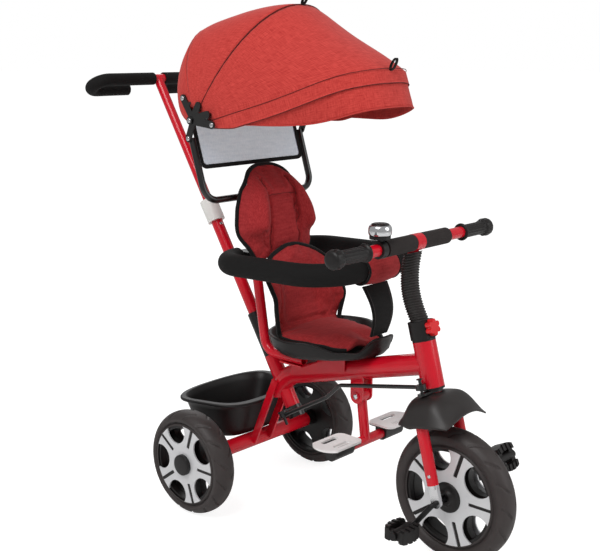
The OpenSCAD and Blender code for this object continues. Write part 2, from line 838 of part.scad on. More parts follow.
// Sunshade frame behind the backrest, its hinges and bows
hood_x = -2;
hood_tube_d = 14;
hinge_reach = 6;
hood_tube_y = hood_half - hood_tube_d / 2 - hinge_reach;
hood_gap = 4;
hood_sink = 8;
low_back = 15;
low_drop = 36;
hood_low = [hoop_top_x - hoop_d / 2 - hood_tube_d / 2 - hood_gap, 0, hoop_top_z - hood_sink];
hood_high = [hood_x - low_back, 0, hood_z - low_drop];
hood_bend_r = 30;
hood_path = [
    [hood_high.x, -hood_tube_y, hood_high.z], [hood_low.x, -hood_tube_y, hood_low.z],
    [hood_low.x, hood_tube_y, hood_low.z], [hood_high.x, hood_tube_y, hood_high.z]
];
module hood_frame() color(black) placed()
    difference() {
        bent(hood_path, hood_bend_r, hood_tube_d);
        bent(stretched(hood_path, over), hood_bend_r, hood_tube_d - 2 * tube_wall);
        both_sides()
            at_hinge(hood_tube_y)
                translate(low_rivet)
                    cylinder(d = pivot_d + 2 * seat_gap, h = hood_tube_d);
    }

// Plastic clamps that snap on the hoop from behind: two for the safety bar and two for the sunshade frame
clamp_len = 26;
clamp_wall = 6;
clamp_grip = hoop_d / 4;
clamp_corner = [0, clamp_len / 2, clamp_len / 2];
hood_clamp_y = hoop_half - hoop_bend_r - clamp_len / 2 - free_gap;
hoop_low = [hoop_foot_x, hoop_half, hoop_z];
hoop_high = [hoop_top_x, hoop_half, hoop_top_z];
module bar_clamp()
    difference() {
        translate([ring_back_x - bar_core_d / 2 - clamp_wall, hoop_half, ring_z] - clamp_corner)
            cube([hoop_x(ring_z) - ring_back_x + bar_core_d / 2 + clamp_wall + clamp_grip,
                  clamp_len, clamp_len]);
        rod(hoop_low, hoop_high, hoop_d + 2 * seat_gap);
        on_ring() ring_rear_part(bar_core_d + 2 * seat_gap);
    }
module hood_clamp()
    difference() {
        translate([hood_low.x - hood_tube_d / 2 - clamp_wall, hood_clamp_y, hood_low.z] - clamp_corner)
            cube([hoop_top_x - hood_low.x + hood_tube_d / 2 + clamp_wall + clamp_grip,
                  clamp_len, clamp_len + hood_sink]);
        translate(hood_low) across(hood_tube_d + 2 * seat_gap, hood_half);
        translate([hoop_top_x, 0, hoop_top_z]) across(hoop_d + 2 * seat_gap, hood_half);
    }
module hoop_clamps() color(black) placed()
    both_sides() {
        bar_clamp();
        hood_clamp();
    }

// Flat links of the hinge, stacked outwards from the frame tube
link_t = 3;
link_w = 15;
pivot_d = 8;
rivet_h = 2.5;
hinge_y = hood_tube_y + hood_tube_d / 2 + soft_gap;
mid_link_y = hinge_y + link_t + soft_gap;
front_link_y = mid_link_y + link_t + soft_gap;
foot_r = 34;
front_foot_r = 48;
rear_rivet_r = 50;
rear_rivet_a = 124;
front_rivet_r = 60;
front_rivet_a = -6;
function polar(r, a) = [r * cos(a), r * sin(a)];
low_rivet = [-low_back, -low_drop];
rear_rivet = polar(rear_rivet_r, rear_rivet_a);
front_rivet = polar(front_rivet_r, front_rivet_a);
module link_shape(points)
    for (i = [0 : len(points) - 2]) {
        d = points[i + 1] - points[i];
        translate(points[i])
            rotate(atan2(d.y, d.x))
                translate([0, bend_step - link_w / 2]) square([norm(d), link_w - 2 * bend_step]);
        for (p = [points[i], points[i + 1]]) translate(p) circle(d = link_w);
    }
// Draws in the hinge's side plane, upwards from the distance y
module at_hinge(y) translate([hood_x, y, hood_z]) rotate([90, 0, 0]) mirror([0, 0, 1]) children();

// Shares that square the arches: front, middle and rear
arch_shares = [0.8, 0.92, 0.74];
// Arch of a bow or of the cloth, at one angle about the hinge
function arch(r, half, a, t, share) =
    let (reach = r * pow(sin(t), share))
        [hood_x + reach * cos(a), -half * power(cos(t), share), hood_z + reach * sin(a)];
bow_steps = 20;
cloth_half = hinge_y - soft_gap;
bow_inset = bow_d / 2 + soft_gap + cloth_t;
bow_y = cloth_half - bow_inset;
module bow(r, a, foot_r, share) {
    foot = [hood_x + foot_r * cos(a), 0, hood_z + foot_r * sin(a)];
    side = [0, bow_y, 0];
    points = [for (j = [1 : bow_steps - 1]) arch(r - bow_inset, bow_y, a, 180 * j / bow_steps, share)];
    wire(concat([foot - side], points, [foot + side]), [-sin(a), 0, cos(a)], bow_d);
}
// Rivet that ties a bow's foot to its link, up to the distance y
module foot_pin(r, a, y)
    at_hinge(bow_y) translate(polar(r, a)) cylinder(d = bow_d - 2 * soft_gap, h = y - bow_y);

module hood_hinges() color(black) placed()
    both_sides() {
        at_hinge(hinge_y)
            linear_extrude(link_t)
                link_shape([low_rivet, [0, 0], rear_rivet]);
        at_hinge(hinge_y) cylinder(d = pivot_d, h = front_link_y - hinge_y + link_t + soft_gap + rivet_h);
        at_hinge(front_link_y + link_t + soft_gap) cylinder(d = link_w, h = rivet_h);
        at_hinge(hinge_y + link_t / 2) translate(rear_rivet) cylinder(d = pivot_d, h = rivet_h);
        at_hinge(hood_tube_y + hood_tube_d / 2 - tube_wall)
            translate(low_rivet)
                cylinder(d = pivot_d, h = link_t);
    }

module rear_bow() color(black) placed() {
    bow(rear_bow_r, rear_bow_a, foot_r, arch_shares[2]);
    both_sides() foot_pin(foot_r, rear_bow_a, hinge_y);
}

cloth_steps = 24;
cloth_start = 9;
function cloth_row(r, a, share, inset) = [
    for (j = [0 : cloth_steps])
        arch(r - inset, cloth_half - inset, a, mix(cloth_start, 180 - cloth_start, j / cloth_steps), share)
];
// Rows of cloth between two bows, each given as reach, rise and share, drawn in a little halfway
function cloth_grid(from, to, rows, sag, inset) = [
    for (i = [0 : rows])
        let (t = i / rows, at = mix(from, to, t))
            cloth_row(at[0] * (1 - sag * sin(180 * t)), at[1], at[2], inset)
];
front_edge = [front_bow_r, front_bow_a, arch_shares[0]];
mid_edge = [mid_bow_r, mid_bow_a, arch_shares[1]];
rear_edge = [rear_bow_r, rear_bow_a, arch_shares[2]];
module cloth(from, to, rows, sag)
    sheet(cloth_grid(from, to, rows, sag, 0), cloth_grid(from, to, rows, sag, cloth_t));
cloth_rows = 6;
seam_a = 0.5;
mid_sag_share = 0.05;
front_sag_share = 0.1;
module hood_mid() color(cloth_red) placed()
    cloth(mid_edge + [0, seam_a, 0], rear_edge - [0, seam_a, 0], cloth_rows, mid_sag_share);

// Rear panel: over the rear bow and down to the window
back_hem_r = 32;
back_hem_a = 205;
back_sag_share = -0.03;
module hood_rear() color(cloth_red) placed()
    cloth(rear_edge + [0, seam_a, 0], [back_hem_r, back_hem_a, arch_shares[2]], cloth_rows, back_sag_share);

// Front panel with the visor that hangs from its hem
visor_rows = 4;
visor_drop = 60;
visor_flare = 24;
visor_start = 3;
visor_span = 34;
visor_end_share = 0.06;
function visor_row(t, inset) = [
    for (j = [0 : cloth_steps])
        let (
            a = mix(cloth_start, 180 - cloth_start, j / cloth_steps),
            fall = mix(visor_end_share, 1, smooth((min(a, 180 - a) - visor_start) / visor_span)) * t
        )
            arch(front_bow_r - inset, cloth_half - inset, front_bow_a, a, arch_shares[0])
                + fall * [visor_flare, 0, -visor_drop]
];
function front_grid(inset) = concat(
    [for (i = [visor_rows : -1 : 1]) visor_row(i / visor_rows, inset)],
    cloth_grid(front_edge, mid_edge - [0, seam_a, 0], cloth_rows, front_sag_share, inset)
);
module hood_front() color(cloth_red) placed() sheet(front_grid(0), front_grid(cloth_t));

module mid_bow() color(black) placed() {
    bow(mid_bow_r, mid_bow_a, foot_r, arch_shares[1]);
    both_sides() {
        foot_pin(foot_r, mid_bow_a, mid_link_y + link_t);
        at_hinge(mid_link_y)
            linear_extrude(link_t)
                difference() {
                    link_shape([[0, 0], polar(foot_r, mid_bow_a)]);
                    circle(d = pivot_d + 2 * run_gap);
                }
    }
}

// The front bow lies a little below its cloth's row, clear of the cloth that falls away behind it
bow_dip = 0.35;
front_rise = front_bow_a - bow_dip;
module front_bow() color(black) placed() {
    bow(front_bow_r, front_rise, front_foot_r, arch_shares[0]);
    both_sides() {
        foot_pin(front_foot_r, front_rise, front_link_y + link_t);
        at_hinge(front_link_y)
            linear_extrude(link_t)
                difference() {
                    union() {
                        link_shape([[0, 0], front_rivet]);
                        link_shape([[0, 0], polar(front_foot_r, front_rise)]);
                    }
                    circle(d = pivot_d + 2 * run_gap);
                }
    }
}

// Mesh window between the frame's uprights, with a sewn binding
window_h = 84;
window_drop = 16;
window_w = 2 * (hood_tube_y - hood_tube_d / 2 - soft_gap);
window_t = 2;
binding_w = 8;
binding_t = 4;
net_columns = 24;
net_rows = 8;
strand = 2;
window_lean = atan2(hood_low.x - hood_high.x, hood_high.z - hood_low.z);
module window_outline(w, h, r) {
    translate([-w / 2 + r, 0]) square([w - 2 * r, h]);
    translate([-w / 2, r]) square([w, h - 2 * r]);
    for (x = [-1, 1], y = [r, h - r]) translate([x * (w / 2 - r), y]) circle(r = r);
}
module rear_window() color([0.55, 0.55, 0.57]) placed()
    translate([hood_high.x - (low_drop - window_drop) * tan(window_lean), 0, hood_z - window_drop])
        rotate([90 - window_lean, 0, 90])
            translate([0, -window_h, 0]) {
                net_w = window_w - 2 * binding_w;
                net_h = window_h - 2 * binding_w;
                linear_extrude(binding_t, center = true)
                    difference() {
                        window_outline(window_w, window_h, 2 * binding_w);
                        translate([0, binding_w]) window_outline(net_w, net_h, binding_w);
                    }
                linear_extrude(window_t, center = true) {
                    for (i = [1 : net_columns - 1])
                        translate([-net_w / 2 + net_w * i / net_columns - strand / 2, binding_w / 2])
                            square([strand, net_h + binding_w]);
                    for (i = [1 : net_rows - 1])
                        translate([-net_w / 2 - binding_w / 2, binding_w + net_h * i / net_rows - strand / 2])
                            square([net_w + binding_w, strand]);
                }
            }

// Footrest: a bracket under the main tube, a folding arm with a cross bar, and two pads
foot_x = 292;
foot_drop = 32;
foot_lean = 7;
foot_plate_t = 4;
foot_boss_d = 30;
foot_half = 12;
foot_pin_d = 8;
cross_d = 20;
cross_half = 98;
foot_pivot = [foot_x, 0, main_z(foot_x) - main_lift - foot_drop];
foot_cross = foot_pivot + foot_arm * [sin(foot_lean), 0, -cos(foot_lean)];
module foot_plate() {
    half_d = foot_boss_d / 2;
    translate([foot_pivot.x, foot_half, foot_pivot.z])
        rotate([-90, 0, 0]) {
            cylinder(d = foot_boss_d, h = foot_plate_t);
            translate([-half_d, -foot_drop - main_lift, 0])
                cube([foot_boss_d, foot_drop + main_lift, foot_plate_t]);
        }
}
module footrest_bracket() color(red) placed() {
    difference() {
        both_sides() foot_plate();
        bent(main_path, main_bend_r, main_d + 2 * seat_gap);
    }
    translate(foot_pivot) {
        across(foot_pin_d, foot_half + foot_plate_t + rivet_h);
        both_sides()
            translate([0, foot_half + foot_plate_t - seat_gap, 0])
                rotate([-90, 0, 0])
                    cylinder(d = 2 * foot_pin_d, h = rivet_h);
    }
}

module footrest_arm() color(red) placed()
    difference() {
        union() {
            translate(foot_pivot) across(foot_boss_d - foot_plate_t, foot_half - soft_gap);
            rod(foot_pivot, foot_cross, cross_d);
            translate(foot_cross) across(cross_d, cross_half);
        }
        translate(foot_pivot) across(foot_pin_d + 2 * run_gap, 2 * foot_half);
        translate(foot_cross) across(cross_d - 2 * tube_wall, cross_half + over);
    }

pad_inner = 42;
foot_plate_top = 6;
foot_corner_r = 14;
foot_end_r = 38;
saddle_inset = 8;
saddle_len = 56;
saddle_wall = 4;
slot_w = 12;
slot_len = 46;
module foot_pad_outline() {
    difference() {
        intersection() {
            rotate(90)
                translate([0, -foot_pad_len / 2])
                    window_outline(foot_pad_w, foot_pad_len, foot_corner_r);
            union() {
                translate([0, foot_pad_w / 2 - foot_end_r]) circle(r = foot_end_r);
                translate([-foot_pad_len, -foot_pad_w])
                    square([2 * foot_pad_len, 3 * foot_pad_w / 2 - foot_end_r]);
            }
        }
        for (x = [-1, 1])
            translate([x * foot_pad_len / 4, 0])
                rotate(90)
                    translate([0, -slot_w / 2])
                        window_outline(slot_len, slot_w, slot_w / 2 - seat_gap);
    }
}
module foot_pad() {
    plate_z = cross_d / 2 + saddle_wall;
    saddle_d = cross_d + 2 * saddle_wall;
    translate(foot_cross + [0, pad_inner, 0])
        difference() {
            union() {
                translate([0, foot_pad_w / 2, plate_z]) linear_extrude(foot_plate_top) foot_pad_outline();
                translate([0, saddle_inset, 0]) rotate([-90, 0, 0]) cylinder(d = saddle_d, h = saddle_len);
                translate([-saddle_d / 2, saddle_inset, 0])
                    cube([saddle_d, saddle_len, plate_z + saddle_wall / 2]);
            }
            translate([0, -over, 0])
                rotate([-90, 0, 0])
                    cylinder(d = cross_d + 2 * seat_gap, h = cross_half - pad_inner + over + seat_gap);
        }
}
module foot_pads() color(pale) placed() both_sides() foot_pad();

// Fork: one bent tube with the steerer
fork_bend_r = 40;
leg_low = 34;
steerer_top = head_u + head_len + collar_len - bush_flange;
arm_lift = 6;
arm_u = crown_u + fork_d / 2 + arm_lift;
arm_t = 4;
arm_w = 18;
arm_pin_d = 6;
arm_pin_len = 30;
fork_path = [
    [0, -fork_half, leg_low], [0, -fork_half, crown_u], [0, fork_half, crown_u], [0, fork_half, leg_low]
];
module side_arm(bore) {
    translate([-arm_w / 2, -arm_reach, 0]) cube([arm_w, arm_reach, arm_t]);
    translate([0, -arm_reach, 0]) cylinder(d = arm_w, h = arm_t);
    cylinder(d = bore + 2 * arm_t, h = arm_t);
}
module fork() color(red) placed() on_steer()
    difference() {
        union() {
            bent(fork_path, fork_bend_r, fork_d);
            translate([0, 0, crown_u]) cylinder(d = steerer_d, h = steerer_top - crown_u);
        }
        bent(stretched(fork_path, over), fork_bend_r, fork_d - 2 * tube_wall);
        translate([0, 0, crown_u]) cylinder(d = steerer_d - 2 * tube_wall, h = steerer_top - crown_u + over);
    }

// Arm on the steerer, with the pin that the steering rod's eye slides on
module steering_arm() color(black) placed() on_steer()
    difference() {
        translate([0, 0, arm_u]) {
            side_arm(steerer_d);
            translate([0, -arm_reach, 0]) {
                cylinder(d = arm_pin_d, h = arm_pin_len);
                translate([0, 0, arm_pin_len]) cylinder(d = 2 * arm_pin_d, h = arm_t / 2);
            }
        }
        translate([0, 0, arm_u - over]) cylinder(d = steerer_d + 2 * seat_gap, h = arm_t + 2 * over);
    }

end_w = 20;
end_t = 8;
end_low = 16;
plug_len = 16;
module fork_ends() color(chrome) placed()
    both_sides()
        difference() {
            on_steer()
                translate([0, fork_half, 0]) {
                    translate([-end_w / 2, -end_t / 2, 0]) cube([end_w, end_t, leg_low - seat_gap]);
                    rotate([90, 0, 0]) cylinder(d = end_w, h = end_t, center = true);
                    translate([0, 0, leg_low - plug_len / 2])
                        cylinder(d = fork_d - 2 * tube_wall - 2 * seat_gap, h = 3 * plug_len / 2);
                }
            translate([wheelbase, 0, front_r]) across(axle_d + 2 * run_gap, fork_half + end_low);
        }

// Fender: a saddle over the fork crown, turned about the front axle, whose two ends droop and flatten
fender_half = 66;
fender_t = 3;
fender_drop = 36;
fender_fall = 4.5;
fender_angles = [25, 18];
fender_keep_share = 0.3;
fender_corner_share = 0.5;
ridge_falls = [24, 20];
corner_falls = [46, 38];
fender_shares = [0.45, 0.62, 0.8, 0.92, 1];
fender_steps = 36;
fender_hole_r = steerer_d / 2 + soft_gap;
fender_r = crown_u + fork_d / 2 + 2 * free_gap;
function fender_ring(share, lift) = [
    for (k = [0 : fender_steps - 1])
        let (
            f = 360 * k / fender_steps,
            p = share * power(cos(f), fender_corner_share),
            s = share * power(sin(f), fender_corner_share),
            i = p > 0 ? 0 : 1,
            a = p * fender_angles[i],
            end = smooth((abs(p) - fender_keep_share) / (1 - fender_keep_share)),
            arch = fender_drop * pow(abs(s), fender_fall),
            r = fender_r + lift - mix(arch, mix(ridge_falls[i], corner_falls[i], s * s), end)
        )
            [r * sin(a), s * fender_half, r * cos(a)]
];
function fender_hole(lift) = [
    for (k = [0 : fender_steps - 1])
        let (f = 360 * k / fender_steps)
            [fender_hole_r * cos(f), fender_hole_r * sin(f), fender_r + lift]
];
module fender() color(black) placed() on_steer()
    loft(concat(
        [fender_hole(0)],
        [for (share = fender_shares) fender_ring(share, 0)],
        [for (i = [len(fender_shares) - 1 : -1 : 0]) fender_ring(fender_shares[i], fender_t)],
        [fender_hole(fender_t)]
    ), true);

// Collar on top of the head tube, with a flat face for the clamp knob
collar_u = head_u + head_len + bush_flange + seat_gap;
knob_share = 0.5;
knob_u = collar_u + collar_len * knob_share;
collar_wide = 4;
collar_d = head_d + collar_wide;
collar_flat = 19;
module steering_collar() color(black) placed() on_steer()
    difference() {
        translate([0, 0, collar_u]) cylinder(d = collar_d, h = collar_len - bush_flange);
        translate([0, 0, collar_u - over]) cylinder(d = steerer_d + 2 * seat_gap, h = collar_len + over);
        translate([collar_flat, -collar_d / 2, collar_u - over])
            cube([collar_d, collar_d, collar_len + over]);
        translate([0, 0, knob_u]) rotate([0, 90, 0]) cylinder(d = bolt_d + 2 * run_gap, h = collar_d);
    }

lobes = 6;
lobe_d = 10;
lobe_r = 11;
knob_t = 12;
module clamp_knob() color(red) placed() on_steer()
    translate([0, 0, knob_u])
        rotate([0, 90, 0]) {
            translate([0, 0, collar_flat + soft_gap])
                linear_extrude(knob_t) {
                    circle(r = lobe_r);
                    for (k = [0 : lobes - 1])
                        rotate(360 * k / lobes)
                            translate([lobe_r, 0])
                                circle(d = lobe_d);
                }
            translate([0, 0, steerer_d / 2 + soft_gap])
                cylinder(d = bolt_d, h = collar_flat - steerer_d / 2);
        }

// Stem and ribbed gaiter share one gently swaying line
stem_d = 20;
stem_sway = 13;
bar_x = 25;
stem_steps = 14;
gaiter_u = collar_u + collar_len - bush_flange + soft_gap;
bar_rise = 18;
bar_u = gaiter_u + gaiter_len + bar_rise;
stem_low = steerer_top + seat_gap;
function stem_x(u) = let (t = (u - stem_low) / (bar_u - stem_low)) bar_x * t * t - stem_sway * sin(180 * t);
bar_clamp_w = 24;
bar_clamp_wall = 5;
module stem() color(red) placed() on_steer()
    difference() {
        union() {
            wire([
                for (i = [0 : stem_steps])
                    let (u = mix(stem_low, bar_u, i / stem_steps))
                        [stem_x(u), 0, u]],
                 [0, 1, 0], stem_d);
            translate([0, 0, stem_low]) cylinder(d = steerer_d, h = bush_flange);
            translate([bar_x, 0, bar_u]) across(bar_d + 2 * bar_clamp_wall, bar_clamp_w / 2);
        }
        translate([bar_x, 0, bar_u]) across(bar_d + 2 * seat_gap, bar_clamp_w);
    }

gaiter_sides = 8;
gaiter_wall = 2;
gaiter_space = 3;
gaiter_bore_d = stem_d + 2 * gaiter_space;
rib_depth = (gaiter_d - gaiter_bore_d) / 2 - gaiter_wall;
bore_rings = 12;
function gaiter_ring(u, d) = [
    for (k = [0 : gaiter_sides - 1])
        let (a = 360 * k / gaiter_sides)
            [stem_x(u) + d / 2 * cos(a), d / 2 * sin(a), u]
];
module gaiter() color(black) placed() on_steer()
    loft(concat(
        [for (i = [0 : gaiter_ribs - 1], k = [0, 1])
            gaiter_ring(gaiter_u + gaiter_len * (i + k / 2) / gaiter_ribs, gaiter_d - 2 * rib_depth * k)],
        [gaiter_ring(gaiter_u + gaiter_len, gaiter_d)],
        [for (i = [bore_rings : -1 : 0]) gaiter_ring(gaiter_u + gaiter_len * i / bore_rings, gaiter_bore_d)]
    ), true);

// Handlebar with its foam sleeves, grips and bell
module at_bar() on_steer() translate([bar_x, 0, bar_u]) children();
bar_wall = 1.5;
module handlebar() color(red) placed() at_bar()
    difference() {
        across(bar_d, bar_len / 2);
        across(bar_d - 2 * bar_wall, bar_len / 2 + over);
    }

sleeve_d = 31;
sleeve_start = bar_clamp_w / 2 + soft_gap;
module bar_span(y, len, d) translate([0, y, 0]) rotate([-90, 0, 0]) cylinder(d = d, h = len);
module bar_sleeves() color(black) placed() at_bar()
    both_sides()
        difference() {
            bar_span(sleeve_start, sleeve_len, sleeve_d);
            bar_span(sleeve_start - over, sleeve_len + 2 * over, bar_d + 2 * seat_gap);
        }

grip_d = 30;
flange_d = 36;
flange_t = 5;
knob_d = 36;
knob_len = 24;
grip_end = 6;
grip_start = bar_len / 2 - grip_len + grip_end;
bare_len = 50.6;
sleeve_len = grip_start - sleeve_start - bare_len;
rib_d = 4;
grip_ribs = 12;
module bar_grips() color(black) placed() at_bar()
    both_sides()
        difference() {
            union() {
                bar_span(grip_start, grip_len, grip_d);
                bar_span(grip_start, flange_t, flange_d);
                bar_span(grip_start + grip_len - knob_len, knob_len, knob_d);
                for (k = [0 : grip_ribs - 1])
                    rotate([0, 360 * k / grip_ribs, 0])
                        translate([grip_d / 2, 0, 0])
                            bar_span(grip_start, grip_len - knob_len / 2, rib_d);
            }
            bar_span(grip_start - over, grip_len - grip_end + over, bar_d + 2 * seat_gap);
        }

bell_gap = 12;
bell_y = -(sleeve_start + sleeve_len + bell_gap);
bell_d = 42;
bell_h = 22;
bell_base_t = 6;
bell_ring_w = 14;
bell_rise = 26;
bell_post_d = 10;
bell_wall = 2;
module at_bell() translate(steer_point(bar_x, bell_y, bar_u)) children();
module bell_base() color(black) placed() at_bell()
    difference() {
        union() {
            rotate([0, -head_tilt, 0]) across(bar_d + 2 * bar_clamp_wall, bell_ring_w / 2);
            cylinder(d = bell_post_d, h = bell_rise);
            translate([0, 0, bell_rise - bell_base_t]) cylinder(d = bell_d - 2 * bell_wall, h = bell_base_t);
            translate([0, 0, bell_rise]) cylinder(d = bolt_d, h = bell_h - bell_wall - soft_gap);
        }
        rotate([0, -head_tilt, 0]) across(bar_d + 2 * seat_gap, bell_ring_w);
    }

dome_share = 0.55;
dome_hub_z = 5;
module bell_dome() color(chrome) placed() at_bell()
    translate([0, 0, bell_rise + soft_gap])
        rotate_extrude() {
            difference() {
                bell_profile(bell_d / 2, bell_h);
                translate([0, -over]) bell_profile(bell_d / 2 - bell_wall, bell_h - bell_wall + over);
            }
            translate([bolt_d / 2 + run_gap, dome_hub_z])
                square([bell_wall, bell_h - dome_hub_z - bell_wall / 2]);
        }
module bell_profile(r, h) {
    round_r = h * dome_share;
    square([r - round_r, h]);
    square([r, h - round_r]);
    translate([r - round_r, h - round_r]) intersection() {
        circle(r = round_r);
        square(round_r);
    }
}

// Front wheel with its cranked axle
module at_front_axle() translate([wheelbase, 0, front_r]) children();
module front_tyre() color(tyre_black) placed() at_front_axle()
    rotate([90, 0, 0]) tyre(front_tyre_d, front_disc_d, front_tyre_w);
module front_rim() color(black) placed() at_front_axle()
    rotate([90, 0, 0]) wheel_rim(front_disc_d, front_tyre_w);
module front_discs() color(silver) placed() at_front_axle()
    both_sides() rotate([-90, 0, 0]) wheel_disc(front_disc_d, front_tyre_w);

crank_a = 53;
crank_gap = 9;
crank_web = 8;
crank_in = fork_half + end_t / 2 + crank_gap;
crank_out = crank_in + crank_web;
crank_bend_r = 9;
pedal_gap = 9;
crank_end = crank_r * [-cos(crank_a), 0, -sin(crank_a)];
pedal_start = crank_out + pedal_gap;
pin_end = pedal_start + pedal_len + free_gap;
cap_d = 16;
cap_t = 4;
module front_crank() color(chrome) placed() at_front_axle() {
    bent([
        crank_end - [0, pin_end, 0], crank_end - [0, crank_out, 0], [0, -crank_in, 0],
        [0, crank_in, 0], [0, crank_out, 0] - crank_end, [0, pin_end, 0] - crank_end
    ], crank_bend_r, axle_d);
    for (s = [-1, 1])
        translate(s * ([0, pin_end, 0] - crank_end))
            rotate([-90 * s, 0, 0])
                cylinder(d = cap_d, h = cap_t);
}

// Pedal: a barrel between two lugged tread bars
pedal_w = 54;
pedal_t = 24;
tread_w = 13;
lug_n = 4;
lug_h = 3;
barrel_d = 20;
lug_share = 0.6;
// The pedals hang free: the left one rests turned up
pedal_turn = 64;
module pedal()
    difference() {
        union() {
            bar_span(0, pedal_len, barrel_d);
            for (x = [-1, 1])
                translate([x * (pedal_w - tread_w) / 2 - tread_w / 2, 0, -pedal_t / 2]) {
                    cube([tread_w, pedal_len, pedal_t]);
                    for (k = [0 : lug_n - 1])
                        translate([0, pedal_len * (k + (1 - lug_share) / 2) / lug_n, -lug_h])
                            cube([tread_w, pedal_len * lug_share / lug_n, pedal_t + 2 * lug_h]);
                }
            for (y = [0, pedal_len - tread_w])
                translate([-pedal_w / 2, y, -pedal_t / 3]) cube([pedal_w, tread_w, pedal_t * 2 / 3]);
        }
        bar_span(-over, pedal_len + 2 * over, axle_d + 2 * run_gap);
    }
module pedal_left() color(black) placed() at_front_axle()
    translate([0, pedal_start, 0] - crank_end) rotate([0, pedal_turn, 0]) pedal();
module pedal_right() color(black) placed() at_front_axle()
    translate(crank_end - [0, pedal_start, 0]) mirror([0, 1, 0]) pedal();

// Push bar: lower tube, steering crank, twist collar, and the sliding upper tube with its handle
crank_low = 24;
push_overlap = 100;
collar_s = 431;
push_collar_len = 50;
push_collar_d = 38;
lower_top = collar_s + push_collar_len / 2;
module push_lower() color(red) placed()
    difference() {
        rod(on_push(-crank_low), on_push(lower_top), push_lower_d);
        rod(on_push(-crank_low - over), on_push(lower_top + over), push_upper_d + 2 * run_gap);
    }

hub_wall = 5;
crank_plate_s = 3;
module push_crank() color(black) placed()
    difference() {
        translate(push_base)
            rotate([0, -push_tilt, 0])
                mirror([0, 0, 1]) {
                    translate([0, 0, soft_gap])
                        cylinder(d = push_lower_d + 2 * hub_wall, h = crank_low - soft_gap);
                    translate([0, 0, crank_plate_s]) side_arm(push_lower_d);
                    translate([0, -arm_reach, crank_plate_s]) cylinder(d = arm_pin_d, h = arm_pin_len);
                }
        rod(on_push(-crank_low - over), on_push(over), push_lower_d + 2 * seat_gap);
    }

module push_collar() color(pale) placed()
    difference() {
        rod(on_push(collar_s), on_push(collar_s + push_collar_len), push_collar_d);
        rod(on_push(collar_s - over), on_push(lower_top + soft_gap), push_lower_d + 2 * run_gap);
        rod(on_push(lower_top), on_push(collar_s + push_collar_len + over), push_upper_d + 2 * run_gap);
    }

handle_d = 16;
handle_wall = 1.5;
handle_tip = 58;
foam_start = 15;
foam_end = 6;
function handle_path(tip) = [
    push_top - [0, push_upper_d / 4, 0], push_top - [0, handle_half, 0],
    push_top - [0, handle_half, 0] + handle_dir * handle_back,
    push_top - [0, tip, 0] + handle_dir * handle_back
];
handle_bend_r = handle_back / 2 - seat_gap;
module push_upper() color(red) placed()
    difference() {
        union() {
            rod(on_push(collar_s - push_overlap), on_push(push_len), push_upper_d);
            both_sides() bent(handle_path(handle_tip), handle_bend_r, handle_d);
            translate(push_top) across(push_upper_d, foam_start - soft_gap);
        }
        rod(on_push(collar_s - push_overlap - over), on_push(push_len - push_upper_d),
            push_upper_d - 2 * handle_wall);
    }

module push_grips() color(black) placed()
    both_sides()
        difference() {
            bent([for (i = [0 : 3]) let (p = handle_path(handle_tip - foam_end))
                      i == 0 ? push_top - [0, foam_start, 0] : p[i]], handle_bend_r, handle_foam_d);
            bent(handle_path(handle_tip), handle_bend_r, handle_d + 2 * seat_gap);
        }

// Steering rod between the push bar's crank and the fork's side arm, with an eye at each end
rod_d = 8;
rod_bend_r = 20;
eye_d = 16;
eye_t = 10;
eye_gap = 2;
eye_lift = 7;
rear_eye_s = -crank_plate_s - arm_t - soft_gap - eye_t / 2;
front_eye_u = arm_u + arm_t + eye_lift + eye_t / 2;
rod_xs = [232, 266];
rod_drops = [27, 3];
rear_eye_at = on_push(rear_eye_s) - [0, arm_reach, 0];
front_eye_at = steer_point(0, -arm_reach, front_eye_u);
rod_path = [
    rear_eye_at,
    for (i = [0, 1]) [rod_xs[i], -arm_reach, main_z(rod_xs[i]) - main_lift - rod_drops[i]],
    front_eye_at
];
module rear_eye(d, h) translate(rear_eye_at) rotate([0, -push_tilt, 0]) cylinder(d = d, h = h, center = true);
module front_eye(d, h)
    translate(front_eye_at) rotate([0, -head_tilt, 0]) cylinder(d = d, h = h, center = true);
module steering_rod() color(black) placed()
    difference() {
        union() {
            rear_eye(eye_d, eye_t);
            front_eye(eye_d + 2 * eye_gap, eye_t);
            bent(rod_path, rod_bend_r, rod_d);
        }
        rear_eye(arm_pin_d + 2 * run_gap, 3 * eye_t);
        front_eye(arm_pin_d + 2 * eye_gap, 3 * eye_t);
    }

main_tube();
head_tube();
bushes();
push_socket();
axle_tube();
rear_axle();
seat_bracket();
backrest_hoop();
seat_shell();
seat_liner();
back_pad();
safety_bar();
safety_foam();
hoop_clamps();
tummy_pad();
crotch_strap();
basket();
hood_frame();
hood_hinges();
rear_bow();
hood_rear();
rear_window();
footrest_bracket();
footrest_arm();
foot_pads();
tyre_rear_right();
rim_rear_right();
disc_rear_right();
tyre_rear_left();
rim_rear_left();
disc_rear_left();
fork();
fork_ends();
steering_arm();
fender();
steering_collar();
stem();
gaiter();
handlebar();
bar_sleeves();
bar_grips();
bell_base();
bell_dome();
clamp_knob();
front_tyre();
front_rim();
front_discs();
front_crank();
pedal_right();
pedal_left();
push_lower();
push_crank();
push_collar();
push_upper();
push_grips();
steering_rod();
mid_bow();
hood_mid();
front_bow();
hood_front();
